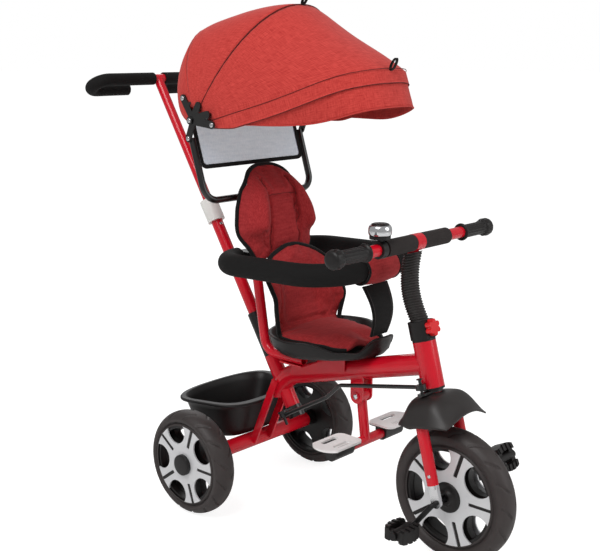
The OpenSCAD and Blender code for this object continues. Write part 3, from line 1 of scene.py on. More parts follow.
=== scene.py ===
import json
from math import atan2, copysign, cos, degrees, exp, hypot, pi, radians, sin, sqrt, tan, tau
import bpy
import bmesh
from mathutils import Matrix, Vector, kdtree, noise
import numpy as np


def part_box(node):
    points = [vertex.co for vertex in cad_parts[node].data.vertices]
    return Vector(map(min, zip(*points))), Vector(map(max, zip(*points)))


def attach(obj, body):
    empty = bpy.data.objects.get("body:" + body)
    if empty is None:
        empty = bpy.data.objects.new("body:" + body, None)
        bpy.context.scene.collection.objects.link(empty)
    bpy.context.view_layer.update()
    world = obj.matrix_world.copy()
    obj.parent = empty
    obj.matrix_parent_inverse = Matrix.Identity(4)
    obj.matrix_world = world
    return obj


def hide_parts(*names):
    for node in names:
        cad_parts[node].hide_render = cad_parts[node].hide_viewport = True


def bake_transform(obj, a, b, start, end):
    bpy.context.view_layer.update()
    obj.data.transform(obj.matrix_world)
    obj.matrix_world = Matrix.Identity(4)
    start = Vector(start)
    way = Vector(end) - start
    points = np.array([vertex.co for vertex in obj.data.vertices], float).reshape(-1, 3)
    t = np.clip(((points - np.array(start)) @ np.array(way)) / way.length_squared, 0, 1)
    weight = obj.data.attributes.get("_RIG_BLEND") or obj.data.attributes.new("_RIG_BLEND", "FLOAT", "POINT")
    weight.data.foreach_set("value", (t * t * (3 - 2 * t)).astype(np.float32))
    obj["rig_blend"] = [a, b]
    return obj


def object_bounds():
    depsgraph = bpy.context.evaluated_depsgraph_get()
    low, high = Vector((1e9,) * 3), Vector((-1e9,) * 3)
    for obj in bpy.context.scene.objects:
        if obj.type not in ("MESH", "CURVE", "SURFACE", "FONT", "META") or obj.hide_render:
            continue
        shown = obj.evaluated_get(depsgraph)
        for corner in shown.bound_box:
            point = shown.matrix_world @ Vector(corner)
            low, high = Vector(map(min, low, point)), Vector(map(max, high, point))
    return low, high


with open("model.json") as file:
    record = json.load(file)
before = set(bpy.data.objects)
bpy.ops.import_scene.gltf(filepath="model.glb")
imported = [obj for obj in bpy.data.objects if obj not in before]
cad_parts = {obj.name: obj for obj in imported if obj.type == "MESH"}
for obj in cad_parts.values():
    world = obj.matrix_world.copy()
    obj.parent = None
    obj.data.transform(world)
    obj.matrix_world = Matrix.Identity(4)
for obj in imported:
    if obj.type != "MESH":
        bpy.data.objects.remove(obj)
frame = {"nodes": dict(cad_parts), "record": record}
scene = bpy.context.scene
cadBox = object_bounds()
nodes = frame["nodes"]
print("frame loaded:", len(nodes), "nodes")


# small helpers

def boxMiddle(node):
    low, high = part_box(node)
    return (low + high) / 2


axleX = boxMiddle("tyre_rear_right").x  # the millimetre drawing starts at the rear axle


def at(x, y, z):
    return Vector((x / 1000 + axleX, y / 1000, z / 1000))


def sinCos(angle):
    return sin(radians(angle)), cos(radians(angle))


steering = {"wheelBase": 516, "axleHeight": 128, "tilt": 15.3}


def steerAt(x, y, u):
    # measured from the front axle, with u along the leaning steering pole
    s, c = sinCos(steering["tilt"])
    return at(steering["wheelBase"] + x * c - u * s, y, steering["axleHeight"] + x * s + u * c)


def mix(a, b, t):
    return a + (b - a) * t


def smooth(t):
    t = min(1, max(0, t))
    return t * t * (3 - 2 * t)


def power(v, e):
    return copysign(abs(v) ** e, v)


def sideTag(side):
    return "Right" if side < 0 else "Left"


def fromTable(table, t):
    t = min(table[-1][0], max(table[0][0], t))
    for (a, p), (b, q) in zip(table, table[1:]):
        if t <= b:
            return mix(p, q, (t - a) / (b - a))


def betweenRings(rings, v):
    # the row of a table of rings at v, from 0 to 1
    k = v * (len(rings) - 1)
    i = min(len(rings) - 2, int(k + 1e-6))
    return (mix(p, q, k - i) for p, q in zip(rings[i], rings[i + 1]))


def newPiece(name, bm, material, body, stands=None, soft=True):
    # body: what it rides on; stands: the CAD node it is drawn in place of
    mesh = bpy.data.meshes.new(name)
    bm.to_mesh(mesh)
    bm.free()
    piece = bpy.data.objects.new(name, mesh)
    scene.collection.objects.link(piece)
    mesh.materials.append(material)
    for face in mesh.polygons:
        face.use_smooth = soft
    if body:
        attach(piece, body)
    if stands:
        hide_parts(stands)
    return piece


def addWall(piece, thickness, offset):
    wall = piece.modifiers.new("wall", "SOLIDIFY")
    wall.thickness, wall.offset = thickness, offset


def finalMesh(piece):
    return bpy.data.meshes.new_from_object(piece.evaluated_get(bpy.context.evaluated_depsgraph_get()))


def applied(piece):
    # the piece's mesh with its modifiers applied
    mesh = finalMesh(piece)
    piece.modifiers.clear()
    piece.data = mesh
    return mesh


def weld(bm, gap):
    bmesh.ops.remove_doubles(bm, verts=bm.verts, dist=gap)
    bmesh.ops.recalc_face_normals(bm, faces=bm.faces)


def runLength(points):
    return sum((p - q).length for p, q in zip(points, points[1:]))


def wrapGrid(across, along, place, closed=False):
    # a grid of cells, bent into shape by place(u, v), with u and v from 0 to 1; its UV map is in metres
    bm = bmesh.new()
    bmesh.ops.create_grid(bm, x_segments=across, y_segments=along, size=0.5)
    uv = bm.loops.layers.uv.new("cloth")
    wide = runLength([place(i / 40, 0.5) for i in range(41)])
    tall = runLength([place(0.5, i / 40) for i in range(41)])
    for face in bm.faces:
        for loop in face.loops:
            loop[uv].uv = ((loop.vert.co.x + 0.5) * wide, (loop.vert.co.y + 0.5) * tall)
    for v in bm.verts:
        v.co = place(v.co.x + 0.5, v.co.y + 0.5)
    if closed:
        bmesh.ops.remove_doubles(bm, verts=bm.verts, dist=1e-5)
    bmesh.ops.recalc_face_normals(bm, faces=bm.faces)
    return bm


def tubeMesh(points, radius):
    curve = bpy.data.curves.new("line", "CURVE")
    curve.dimensions = "3D"
    spline = curve.splines.new("POLY")
    spline.points.add(len(points) - 1)
    for p, q in zip(spline.points, points):
        p.co = (*q, 1)
    curve.bevel_depth = radius
    curve.bevel_resolution = 2
    curve.use_fill_caps = True
    line = bpy.data.objects.new("line", curve)
    scene.collection.objects.link(line)
    mesh = finalMesh(line)
    bm = bmesh.new()
    bm.from_mesh(mesh)
    bpy.data.objects.remove(line)
    bpy.data.curves.remove(curve)
    bpy.data.meshes.remove(mesh)
    weld(bm, 1e-6)
    return bm


def spinChain(bm, chain, axis, steps):
    edges = [bm.edges.new(pair) for pair in zip(chain, chain[1:])]
    bmesh.ops.spin(bm, geom=chain + edges, cent=(0, 0, 0), axis=axis, angle=tau, steps=steps, use_merge=True)
    weld(bm, 1e-6)


def spunMesh(profile, centre, axis, steps):
    # profile: (radius, height) pairs in millimetres, spun about an axis through centre
    bm = bmesh.new()
    turn = Vector((0, 0, 1)).rotation_difference(Vector(axis)).to_matrix().to_4x4()
    chain = [bm.verts.new((r / 1000, 0, h / 1000)) for r, h in profile]
    spinChain(bm, chain, (0, 0, 1), steps)
    bmesh.ops.transform(bm, matrix=Matrix.Translation(centre) @ turn, verts=bm.verts)
    return bm


# materials

def colour(code):
    parts = [int(code[i:i + 2], 16) / 255 for i in (1, 3, 5)]
    return tuple(p / 12.92 if p <= 0.04045 else ((p + 0.055) / 1.055) ** 2.4 for p in parts) + (1,)


def setInputs(tree, node, inputs):
    for key, value in inputs.items():
        if isinstance(value, bpy.types.NodeSocket):
            tree.links.new(value, node.inputs[key])
        else:
            node.inputs[key].default_value = value


def addNode(tree, kind, settings=None, inputs=None):
    node = tree.nodes.new("ShaderNode" + kind)
    for key, value in (settings or {}).items():
        setattr(node, key, value)
    setInputs(tree, node, inputs or {})
    return node


def startMaterial(name):
    material = bpy.data.materials.new(name)
    material.use_nodes = True
    return material, material.node_tree, material.node_tree.nodes["Principled BSDF"]


def newMaterial(name, shades, roughness, metallic=0, coat=0, grain=1.0, tone=30.0, depth=0.1, uneven=0.05,
                shine=0.5):
    # shades: dark and light end of the colour; grain and tone: size of the fine and the broad pattern in mm
    material, tree, shader = startMaterial(name)
    place = addNode(tree, "TexCoord").outputs["Object"]
    fine = addNode(tree, "TexNoise", inputs={"Vector": place, "Scale": 1000 / grain, "Detail": 3.0}).outputs["Fac"]
    broad = addNode(tree, "TexNoise", inputs={"Vector": place, "Scale": 1000 / tone, "Detail": 2.0})
    tint = addNode(tree, "Mix", {"data_type": "RGBA"},
                   {"Factor": broad.outputs["Fac"], "A": colour(shades[0]), "B": colour(shades[1])})
    rough = addNode(tree, "MapRange",
                    inputs={"Value": fine, "To Min": roughness - uneven, "To Max": roughness + uneven})
    bump = addNode(tree, "Bump", inputs={"Height": fine, "Strength": depth, "Distance": grain / 4000})
    setInputs(tree, shader, {
        "Base Color": tint.outputs["Result"], "Roughness": rough.outputs["Result"], "Normal": bump.outputs["Normal"],
        "Metallic": metallic, "Coat Weight": coat, "Coat Roughness": 0.08, "Specular IOR Level": shine,
    })
    return material


weave = {"stretch": 14, "third": 3, "range": (0.7, 1.3), "depth": 0.35, "roughness": 0.85, "shine": 0.15}


def clothMaterial(name, shades, thread, sheen, coords="UV"):
    # plain weave of marled yarn: two sets of streaks at right angles, each yarn a little lighter or darker
    material, tree, shader = startMaterial(name)
    place = addNode(tree, "TexCoord").outputs[coords]
    count = 1000 / thread
    short, other = count / weave["stretch"], count / weave["third"]
    warp = addNode(tree, "Mapping", inputs={"Vector": place, "Scale": (count, short, other)})
    weft = addNode(tree, "Mapping", inputs={"Vector": place, "Scale": (short, count, other)})
    up = addNode(tree, "TexNoise", inputs={"Vector": warp.outputs["Vector"], "Scale": 1.0, "Detail": 2.0})
    over = addNode(tree, "TexNoise", inputs={"Vector": weft.outputs["Vector"], "Scale": 1.0, "Detail": 2.0})
    yarns = addNode(tree, "Math", {"operation": "ADD"}, {0: up.outputs["Fac"], 1: over.outputs["Fac"]})
    both = yarns.outputs["Value"]
    tint = addNode(tree, "MapRange",
                   inputs={"Value": both, "From Min": weave["range"][0], "From Max": weave["range"][1]})
    blend = addNode(tree, "Mix", {"data_type": "RGBA"},
                    {"Factor": tint.outputs["Result"], "A": colour(shades[0]), "B": colour(shades[1])})
    bump = addNode(tree, "Bump", inputs={"Height": both, "Strength": weave["depth"], "Distance": thread / 3000})
    setInputs(tree, shader, {
        "Base Color": blend.outputs["Result"], "Normal": bump.outputs["Normal"], "Sheen Weight": sheen,
        "Roughness": weave["roughness"], "Specular IOR Level": weave["shine"],
    })
    return material


# sprayed gloss enamel: an even red with faint orange peel
redEnamel = newMaterial("redEnamel", ("#c60a20", "#d21026"), 0.26, coat=0.3, grain=2.5, depth=0.012, uneven=0.02,
                        shine=0.3)
# sprayed black enamel on wire and bows
blackEnamel = newMaterial("blackEnamel", ("#080808", "#0e0e0e"), 0.3, coat=0.3, grain=2.5, depth=0.04)
# polished plating, slightly hazy
chromePlate = newMaterial("chromePlate", ("#cfd0d2", "#dcdcde"), 0.16, metallic=1, grain=4, depth=0.01, uneven=0.03)
# black moulding with a fine spark texture
satinPlastic = newMaterial("satinPolypropylene", ("#0d0a0a", "#151111"), 0.44, grain=1.2, depth=0.18, shine=0.36)
# silver lacquer on a moulding
silverPlastic = newMaterial("silverAbs", ("#cdcdcf", "#d8d8da"), 0.4, metallic=0.2, grain=1.0, depth=0.05)
# off-white moulding, slightly worn
palePlastic = newMaterial("paleAbs", ("#e3e1dd", "#eae8e5"), 0.42, grain=1.4, depth=0.08)
# glossy red moulding
redPlastic = newMaterial("redNylon", ("#d4191f", "#de252b"), 0.3, grain=1.5, depth=0.06)
# foamed tyre with a dull brownish skin
tyreFoam = newMaterial("evaTyre", ("#2a2322", "#362e2d"), 0.55, grain=1.6, depth=0.25, tone=18)
# closed cells of a foam sleeve, drawn coarser than they are
sleeveFoam = newMaterial("nbrFoam", ("#090808", "#100e0e"), 0.86, grain=1.1, depth=0.45, tone=20, shine=0.3)
# cut foam tube on the handlebar, greyer than the ring's sleeve
barFoam = newMaterial("evaFoam", ("#221d1c", "#2c2625"), 0.8, grain=1.1, depth=0.35, tone=20, shine=0.3)
# soft moulding with a dull bloom
charcoal = newMaterial("charcoalPolyethylene", ("#1d1918", "#272221"), 0.48, grain=1.2, depth=0.15)
# blackened crank rod
darkSteel = newMaterial("darkSteel", ("#1a191a", "#262526"), 0.38, metallic=0.6, grain=2, depth=0.05)
# the sunshade's cloth, its yarn drawn three times its size so that it shows
canopyCloth = clothMaterial("marledPolyester", ("#aa2d29", "#cf4942"), 1.6, 0.08)
# the cushions' cover, the same weave, its red darkened as painted shade from the sunshade above
linerCloth = clothMaterial("marledLiner", ("#8e2124", "#ab3335"), 1.6, 0.06, "Object")
# grosgrain binding and webbing, its ribs drawn coarser than they are
blackTape = clothMaterial("blackTape", ("#0b0a0a", "#171515"), 1.4, 0.1, "Object")
# the painted shade in a sewn seam's groove, and its thread
seamShadeAndThread = clothMaterial("seamShadeAndThread", ("#571f1f", "#6e2b2a"), 1.4, 0.05, "Object")
# grey stitching on black webbing
edgeThread = clothMaterial("edgeThread", ("#3a3636", "#4a4545"), 1.4, 0.05, "Object")
# knitted net, coarser than real: what is behind it shows through its holes
netCloth = clothMaterial("polyesterNet", ("#a5b0c2", "#bcc7d8"), 2.2, 0.1, "Object")
netCloth.node_tree.nodes["Principled BSDF"].inputs["Alpha"].default_value = 0.5

# the foot pads have a pale tread moulded over a black underside
footPad = {"pale": ("#e9e6e5", "#f0edec"), "black": "#100e0e", "tread": 0.0042}
padMould = newMaterial("twoColourMould", footPad["pale"], 0.42, grain=1.4, depth=0.08)
tree = padMould.node_tree
pale = tree.nodes["Mix"].outputs["Result"]
height = addNode(tree, "SeparateXYZ", inputs={0: addNode(tree, "TexCoord").outputs["Object"]})
tread = addNode(tree, "Math", {"operation": "GREATER_THAN"},
                {0: height.outputs["Z"], 1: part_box("foot_pads")[1].z - footPad["tread"]})
twoTone = addNode(tree, "Mix", {"data_type": "RGBA"},
                  {"Factor": tread.outputs["Value"], "A": colour(footPad["black"]), "B": pale})
tree.links.new(twoTone.outputs["Result"], tree.nodes["Principled BSDF"].inputs["Base Color"])

slotLook = {
    "red_paint": redEnamel, "black_paint": blackEnamel, "chrome": chromePlate, "black_plastic": satinPlastic,
    "silver_plastic": silverPlastic, "pale_plastic": palePlastic, "red_plastic": redPlastic, "tyre": tyreFoam,
    "foam": sleeveFoam, "liner_cloth": linerCloth, "hood_cloth": canopyCloth, "webbing": blackTape, "mesh": netCloth,
}
slotOf = {look.name: slot for slot, look in slotLook.items()}
slotOf.update({"seamShadeAndThread": "webbing", "edgeThread": "webbing", "charcoalPolyethylene": "black_plastic"})
nodeLook = {"front_crank": darkSteel, "bar_sleeves": barFoam, "foot_pads": padMould}
for part in frame["record"]["subparts"]:
    node = nodes[part["node"]]
    look = nodeLook.get(part["node"], slotLook[part["material_slot"]])
    if node.material_slots:
        for place in node.material_slots:
            place.material = look
    else:
        node.data.materials.append(look)
print("materials made")


# camera, at the photograph's place

photo = {"eye": (1544.2, -1553.5, 935.6), "azimuth": 42.35, "elevation": 12.04, "sensor": 36, "lens": 63.5, "far": 200}
(turnSin, turnCos), (tiltSin, tiltCos) = sinCos(photo["azimuth"]), sinCos(photo["elevation"])
ahead = Vector((-turnSin * tiltCos, turnCos * tiltCos, -tiltSin))
camera = bpy.data.objects.new("camera", bpy.data.cameras.new("camera"))
scene.collection.objects.link(camera)
camera.location = at(*photo["eye"])
camera.rotation_euler = ahead.to_track_quat("-Z", "Y").to_euler()
camera.data.sensor_width = photo["sensor"]
camera.data.lens = photo["lens"]
camera.data.clip_end = photo["far"]
scene.camera = camera


# sunshade: each bow is (reach in mm, angle in degrees, squareness)

hood = {
    "x": -2, "z": 802, "half": 162, "seam": 0.5, "start": 3.5, "thick": 0.0014,
    "front": (366, 15.5, 0.8), "middle": (258, 58, 0.92), "rear": (192, 107, 0.69), "hem": (32, 205, 0.72),
    "sagMiddle": 0.06, "sagFront": 0.1, "sagRear": 0.02, "foldFront": 63, "foldMiddle": 34, "foldShort": 5,
}
# the band and the visor that hang from the front bow, in mm and degrees
visor = {
    "seamDrop": (11, -3), "seamRun": (20, 45), "band": 25, "bandStart": 9, "bandRun": 12,
    "depth": 42, "run": (15, 48), "flare": 0.36, "inside": 120, "overlap": 4,
    "tuck": 2.6, "foldTuck": 0.7, "sideTuck": 0.5, "sideRun": (72, 34),
    "rows": (0.2, 0.23, 0.26, 0.4),
}
crease = {"count": (9, 2.2), "step": 90, "height": 1.6, "stitches": 150, "pucker": 0.25, "fade": 22}
ripple = {"count": 12, "step": 40, "seed": 7, "height": 0.0011, "full": 30}
frontBow, middleBow, rearBow = hood["front"], hood["middle"], hood["rear"]
hoodHinge = at(hood["x"], 0, hood["z"])


def archPoint(r, a, share, t, lift=0):
    t, a = radians(t), radians(a)
    reach = (r + lift) * sin(t) ** share
    y = -(hood["half"] + lift * abs(cos(t))) * power(cos(t), share)
    return at(hood["x"] + reach * cos(a), y, hood["z"] + reach * sin(a))


def hoodAngle(p):
    return degrees(atan2(p.z - hoodHinge.z, p.x - hoodHinge.x))


def archTurn(u):
    return mix(hood["start"], 180 - hood["start"], u)


def sideTurn(u):
    # degrees along the arch from the nearer hinge
    t = archTurn(u)
    return min(t, 180 - t)


def shifted(bow, angle):
    return bow[0], bow[1] + angle, bow[2]


def panelPlace(edgeA, edgeB, sag):
    def place(u, v):
        r, a, share = (mix(p, q, v) for p, q in zip(edgeA, edgeB))
        p = archPoint(r * (1 - sag * sin(pi * v)), a, share, archTurn(u))
        # soft creases that run from bow to bow, and puckers along the seams
        spot = Vector((u * crease["count"][0], v * crease["count"][1], r / crease["step"]))
        wave = noise.noise(spot) * crease["height"] * sin(pi * v)
        seams = exp(-v * crease["fade"]) + exp(-(1 - v) * crease["fade"])
        stitch = sin(u * crease["stitches"]) * crease["pucker"] * seams
        return p + (p - hoodHinge).normalized() * (wave + stitch) / 1000
    return place


def frontDrops(u):
    # how far the upper seam, the hem of the band and the visor's edge hang below the bow
    side = sideTurn(u)
    upper = mix(*visor["seamDrop"], smooth((side - visor["seamRun"][0]) / visor["seamRun"][1]))
    hem = upper + mix(visor["bandStart"], visor["band"], smooth(side / visor["bandRun"]))
    fall = min(1, max(0, (side - visor["run"][0]) / visor["run"][1]))
    return upper, hem, hem + visor["depth"] * sin(fall * pi / 2)


def hanging(u, drop, inward=0):
    p = archPoint(*frontBow, archTurn(u))
    inside = (at(hood["x"] + visor["inside"], 0, hood["z"]) - p).normalized()
    spot = Vector((u * ripple["count"], drop / ripple["step"], ripple["seed"]))
    wave = noise.noise(spot) * ripple["height"] * min(1, drop / ripple["full"])
    return p + Vector((visor["flare"] * max(0, drop), 0, -drop)) / 1000 + inside * (inward / 1000 + wave)


def visorTuck(u, drop):
    # at the sides the visor slopes in under the band, so it lies in its shade
    slope = visor["sideTuck"] * smooth((visor["sideRun"][0] - sideTurn(u)) / visor["sideRun"][1])
    return visor["tuck"] + slope * (drop - frontDrops(u)[1])


frontPanel = panelPlace(frontBow, shifted(middleBow, -hood["seam"]), hood["sagFront"])


def frontPlace(u, v):
    # from the visor's edge up to its hem, then the band in front of it, then the panel between the bows
    hem, low = frontDrops(u)[1:]
    visorEnd, foldMiddle, foldEnd, bandEnd = visor["rows"]
    if v < visorEnd:
        t = v / visorEnd
        return hanging(u, mix(low, hem - visor["overlap"], t), visorTuck(u, mix(low, hem, t)))
    if v < foldEnd:
        return hanging(u, hem, 0 if v > foldMiddle else visor["tuck"] * visor["foldTuck"])
    if v < bandEnd:
        return hanging(u, mix(hem, 0, (v - foldEnd) / (bandEnd - foldEnd)))
    return frontPanel(u, (v - bandEnd) / (1 - bandEnd))


def hoodSheet(name, node, place, rows):
    bm = wrapGrid(96, rows, place)
    inside = at(hood["x"], 0, hood["z"] - 60)
    if sum((f.calc_center_median() - inside).dot(f.normal) for f in bm.faces) < 0:
        bmesh.ops.reverse_faces(bm, faces=bm.faces)
    area = sum(f.calc_area() for f in bm.faces)
    piece = newPiece(name, bm, canopyCloth, None, node)
    addWall(piece, hood["thick"], -1)
    return piece


def blendByAngle(piece, body, weight):
    # the cloth turns about the hinge by its own share of the bow's turn
    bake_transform(piece, "frame", body, start=at(hood["x"], 0, hood["z"]), end=at(hood["x"] + 300, 0, hood["z"] + 80))
    for spot, v in zip(piece.data.attributes["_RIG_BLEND"].data, piece.data.vertices):
        spot.value = min(1, max(0, weight(hoodAngle(v.co))))


rearPanel = panelPlace(shifted(rearBow, hood["seam"]), hood["hem"], hood["sagRear"])
rearSheet = hoodSheet("canopyRear", "hood_rear", rearPanel, 30)
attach(rearSheet, "frame")
middlePanel = panelPlace(shifted(middleBow, hood["seam"]), shifted(rearBow, -hood["seam"]), hood["sagMiddle"])
middleSheet = hoodSheet("canopyMiddle", "hood_mid", middlePanel, 24)
blendByAngle(middleSheet, "hood_middle", lambda a: (rearBow[1] - a) / (rearBow[1] - middleBow[1]))
frontSheet = hoodSheet("canopyFront", "hood_front", frontPlace, 50)
foldShare = hood["foldMiddle"] / hood["foldFront"]
foldSpan = middleBow[1] - hood["foldShort"] - frontBow[1]
blendByAngle(frontSheet, "hood_leading", lambda a: mix(1, foldShare, min(1, (a - frontBow[1]) / foldSpan)))

steps = [i / 120 for i in range(121)]
# dark lines along the sunshade's seams: painted shade in their grooves, over the thread
hoodSeams = (
    ("seamMiddle", [archPoint(*middleBow, archTurn(u), 0.5) for u in steps], "hood_middle", 0.0008, seamShadeAndThread),
    ("seamFront", [hanging(u, frontDrops(u)[0], -0.4) for u in steps], "hood_leading", 0.0007, seamShadeAndThread),
    # painted shadow: a dark line under the band's hem, where the visor tucks in behind it
    ("hemShadowLine", [hanging(u, frontDrops(u)[1] + 0.6, 0.4) for u in steps], "hood_leading", 0.0009, seamShadeAndThread),
    ("visorEdge", [hanging(u, frontDrops(u)[2], visorTuck(u, frontDrops(u)[2])) for u in steps],
     "hood_leading", 0.0013, canopyCloth),
)
for name, line, body, radius, material in hoodSeams:
    newPiece(name, tubeMesh(line, radius), material, body)

webLoop = {"middle": 0.012, "tall": 0.0125, "deep": 0.0042, "width": 0.007, "thick": 0.0014}


def loopTab(name, bow, body, upright):
    # folded webbing loop that stands on the bow's top
    top = archPoint(*bow, 90)
    out = ((top - hoodHinge).normalized() + Vector((0, 0, upright))).normalized()
    side = Vector((-out.z, 0, out.x))

    def place(u, v):
        a = tau * u
        rise = out * (webLoop["middle"] + webLoop["tall"] * cos(a))
        return top + rise + side * webLoop["deep"] * sin(a) + Vector((0, (v - 0.5) * webLoop["width"], 0))
    addWall(newPiece(name, wrapGrid(28, 4, place, closed=True), blackTape, body), webLoop["thick"], 0)


loopTab("loopMiddle", middleBow, "hood_middle", 0)
loopTab("loopFront", frontBow, "hood_leading", 1.3)
print("sunshade made")


# mesh window behind the head

window = {
    "width": 295.2, "height": 99, "drop": 1, "high": (-17, 766), "low": (20.4, 644.8),
    "binding": 8, "corner": 16, "lap": 0.75, "bulge": 0.0022, "netWall": 0.0008, "tape": 0.0036,
}


def windowAt(y, down):
    (hx, hz), (lx, lz) = window["high"], window["low"]
    lean = atan2(lx - hx, hz - lz)
    topX = hx - (hood["z"] - window["drop"] - hz) * tan(lean)
    return at(topX + down * sin(lean), y, hood["z"] - window["drop"] - down * cos(lean))


def netPlace(u, v):
    inset = window["binding"] * window["lap"]
    y = mix(-window["width"] / 2 + inset, window["width"] / 2 - inset, u)
    p = windowAt(y, mix(inset, window["height"] - inset, v))
    return p + Vector((-window["bulge"] * sin(pi * u) * sin(pi * v), 0, 0))


def roundedLoop(width, height, r):
    loop = []
    for cy, cd, start in ((1, 1, 0), (-1, 1, 90), (-1, -1, 180), (1, -1, 270)):
        for i in range(9):
            a = radians(start + 90 * i / 8)
            loop.append((cy * (width / 2 - r) + r * cos(a), cd * (height / 2 - r) + r * sin(a)))
    return loop


net = newPiece("windowNet", wrapGrid(60, 20, netPlace), netCloth, "frame", "rear_window")
addWall(net, window["netWall"], 0)
bm = bmesh.new()
rings = []
for inset, r in ((0, window["corner"]), (window["binding"], window["binding"])):
    outline = roundedLoop(window["width"] - 2 * inset, window["height"] - 2 * inset, r)
    ring = [bm.verts.new(windowAt(y, window["height"] / 2 + d)) for y, d in outline]
    rings += [bm.edges.new((ring[i - 1], ring[i])) for i in range(len(ring))]
bmesh.ops.bridge_loops(bm, edges=rings)
bmesh.ops.recalc_face_normals(bm, faces=bm.faces)
bmesh.ops.solidify(bm, geom=bm.faces[:], thickness=window["tape"])
bmesh.ops.translate(bm, verts=bm.verts, vec=(window["tape"] / 2, 0, 0))
bmesh.ops.recalc_face_normals(bm, faces=bm.faces)
newPiece("windowBinding", bm, blackTape, "frame", soft=False)
print("window made")


# cushions

def pointTree(points):
    tree = kdtree.KDTree(len(points))
    for i, p in enumerate(points):
        tree.insert(p, i)
    tree.balance()
    return tree


def seamDepth(mesh, lines, width, depth):
    # presses sewn lines into a cushion
    tree = pointTree([p for line in lines for p in line])
    normals = [v.normal.copy() for v in mesh.vertices]
    for v, n in zip(mesh.vertices, normals):
        gap = tree.find(v.co)[2]
        if gap < width * 3:
            v.co -= n * depth * exp(-(gap / width) ** 2)


def hugging(line, mesh, out, passes=4):
    # lays a line on a cushion: each point goes to the nearest vertex, and the run is smoothed
    tree = pointTree([v.co for v in mesh.vertices])
    found = [mesh.vertices[tree.find(p)[1]] for p in line]
    points = [v.co + v.normal * out for v in found]
    for step in range(passes):
        inner = [(a + b * 2 + c) / 4 for a, b, c in zip(points, points[1:], points[2:])]
        points = points[:1] + inner + points[-1:]
    return points


def sewnLine(name, line, mesh, out, radius, material, passes=4):
    newPiece(name, tubeMesh(hugging(line, mesh, out, passes), radius), material, "frame")


def roundTop(near, far):
    # one line up the near edge, over the top and down the far edge
    a, b = near[-1], far[-1]
    top = [a.lerp(b, i / 10) + Vector((0, 0, 0.004 * sin(pi * i / 10))) for i in range(1, 10)]
    return near + top + far[::-1]


simFrames = 20


def puffed(name, node, made, held):
    # a CAD cushion, remeshed, drawn in a little and blown up by cloth pressure, each vertex moving cap at most
    bm = bmesh.new()
    bm.from_mesh(nodes[node].data)
    weld(bm, 1e-5)
    piece = newPiece(name, bm, linerCloth, None, node)
    remesh = piece.modifiers.new("remesh", "REMESH")
    remesh.mode, remesh.voxel_size = "VOXEL", made["voxel"]
    mesh = applied(piece)
    normals = [v.normal.copy() for v in mesh.vertices]
    for v, n in zip(mesh.vertices, normals):
        v.co -= n * made["shrink"]
    rest = [v.co.copy() for v in mesh.vertices]
    group = piece.vertex_groups.new(name="held")
    for v in mesh.vertices:
        group.add([v.index], held(v), "REPLACE")
    cloth = piece.modifiers.new("cloth", "CLOTH")
    rules = cloth.settings
    rules.use_pressure, rules.uniform_pressure_force = True, made["pressure"]
    rules.vertex_group_mass, rules.effector_weights.gravity, rules.quality = "held", 0, 5
    cloth.point_cache.frame_end = simFrames
    for step in range(1, simFrames + 1):
        scene.frame_set(step)
    mesh = applied(piece)
    piece.vertex_groups.clear()
    scene.frame_set(1)
    for v, p in zip(mesh.vertices, rest):
        move = v.co - p
        if move.length > made["cap"]:
            v.co = p + move * (made["cap"] / move.length)
    mesh.materials.clear()
    mesh.materials.append(linerCloth)
    finer = piece.modifiers.new("finer", "SUBSURF")
    finer.levels = finer.render_levels = 1
    for face in applied(piece).polygons:
        face.use_smooth = True
    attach(piece, "frame")
    return piece


seat = {
    "shellZ": 345.272, "shellBack": 98, "shellLength": 254, "shellWidth": 250, "wall": 3,
    "hoopFoot": 92.2, "hoopTop": 41.34, "hoopLow": 334.872, "hoopHigh": 652.772,
}


def hoopX(z):
    return mix(seat["hoopFoot"], seat["hoopTop"], (z - seat["hoopLow"]) / (seat["hoopHigh"] - seat["hoopLow"]))


backrest = {
    "base": 520.772, "top": 709.272, "width": 204, "oval": (0.43, 0.58, 2.4), "edge": 12.9,
    "wrap": 20, "wrapFrom": (75, 10), "wrapRise": (0.14, 0.12), "lean": 0.024, "leanFrom": (0.655, 0.055),
    "waist": ((0, 1.03), (0.13, 1), (0.31, 1), (0.42, 0.96), (0.53, 0.92), (0.63, 0.88), (0.8, 0.83), (0.93, 0.94),
              (1, 1.45)),
    "face": 34, "seamRun": (540, 704), "panel": (43, 36), "cross": 646, "groove": (0.0045, 0.0055),
    "wing": 62, "tucks": (548, 562), "tuckRun": (52, 76), "tuckRise": 9, "tuckGroove": (0.003, 0.004),
    "made": {"voxel": 0.005, "shrink": 0.003, "cap": 0.007, "pressure": 4.0},
}


def backShape(p):
    # the sewn cover draws the cushion in towards its top, which leans back over the hoop
    t = (p.z * 1000 - backrest["base"]) / (backrest["top"] - backrest["base"])
    lean = backrest["lean"] * smooth((p.z - backrest["leanFrom"][0]) / backrest["leanFrom"][1])
    return Vector((p.x - lean, p.y * fromTable(backrest["waist"], t), p.z))


def backEdge(side, t):
    middle, reach, squareness = backrest["oval"]
    z = mix(backrest["base"], backrest["top"], t)
    y = backrest["width"] / 2 * sqrt(max(0.03, 1 - (abs(t - middle) / reach) ** squareness))
    (fromY, runY), (fromT, runT) = backrest["wrapFrom"], backrest["wrapRise"]
    back = backrest["wrap"] * smooth((y - fromY) / runY) * smooth((t - fromT) / runT)
    return at(hoopX(z) + backrest["edge"] - back, side * y, z)


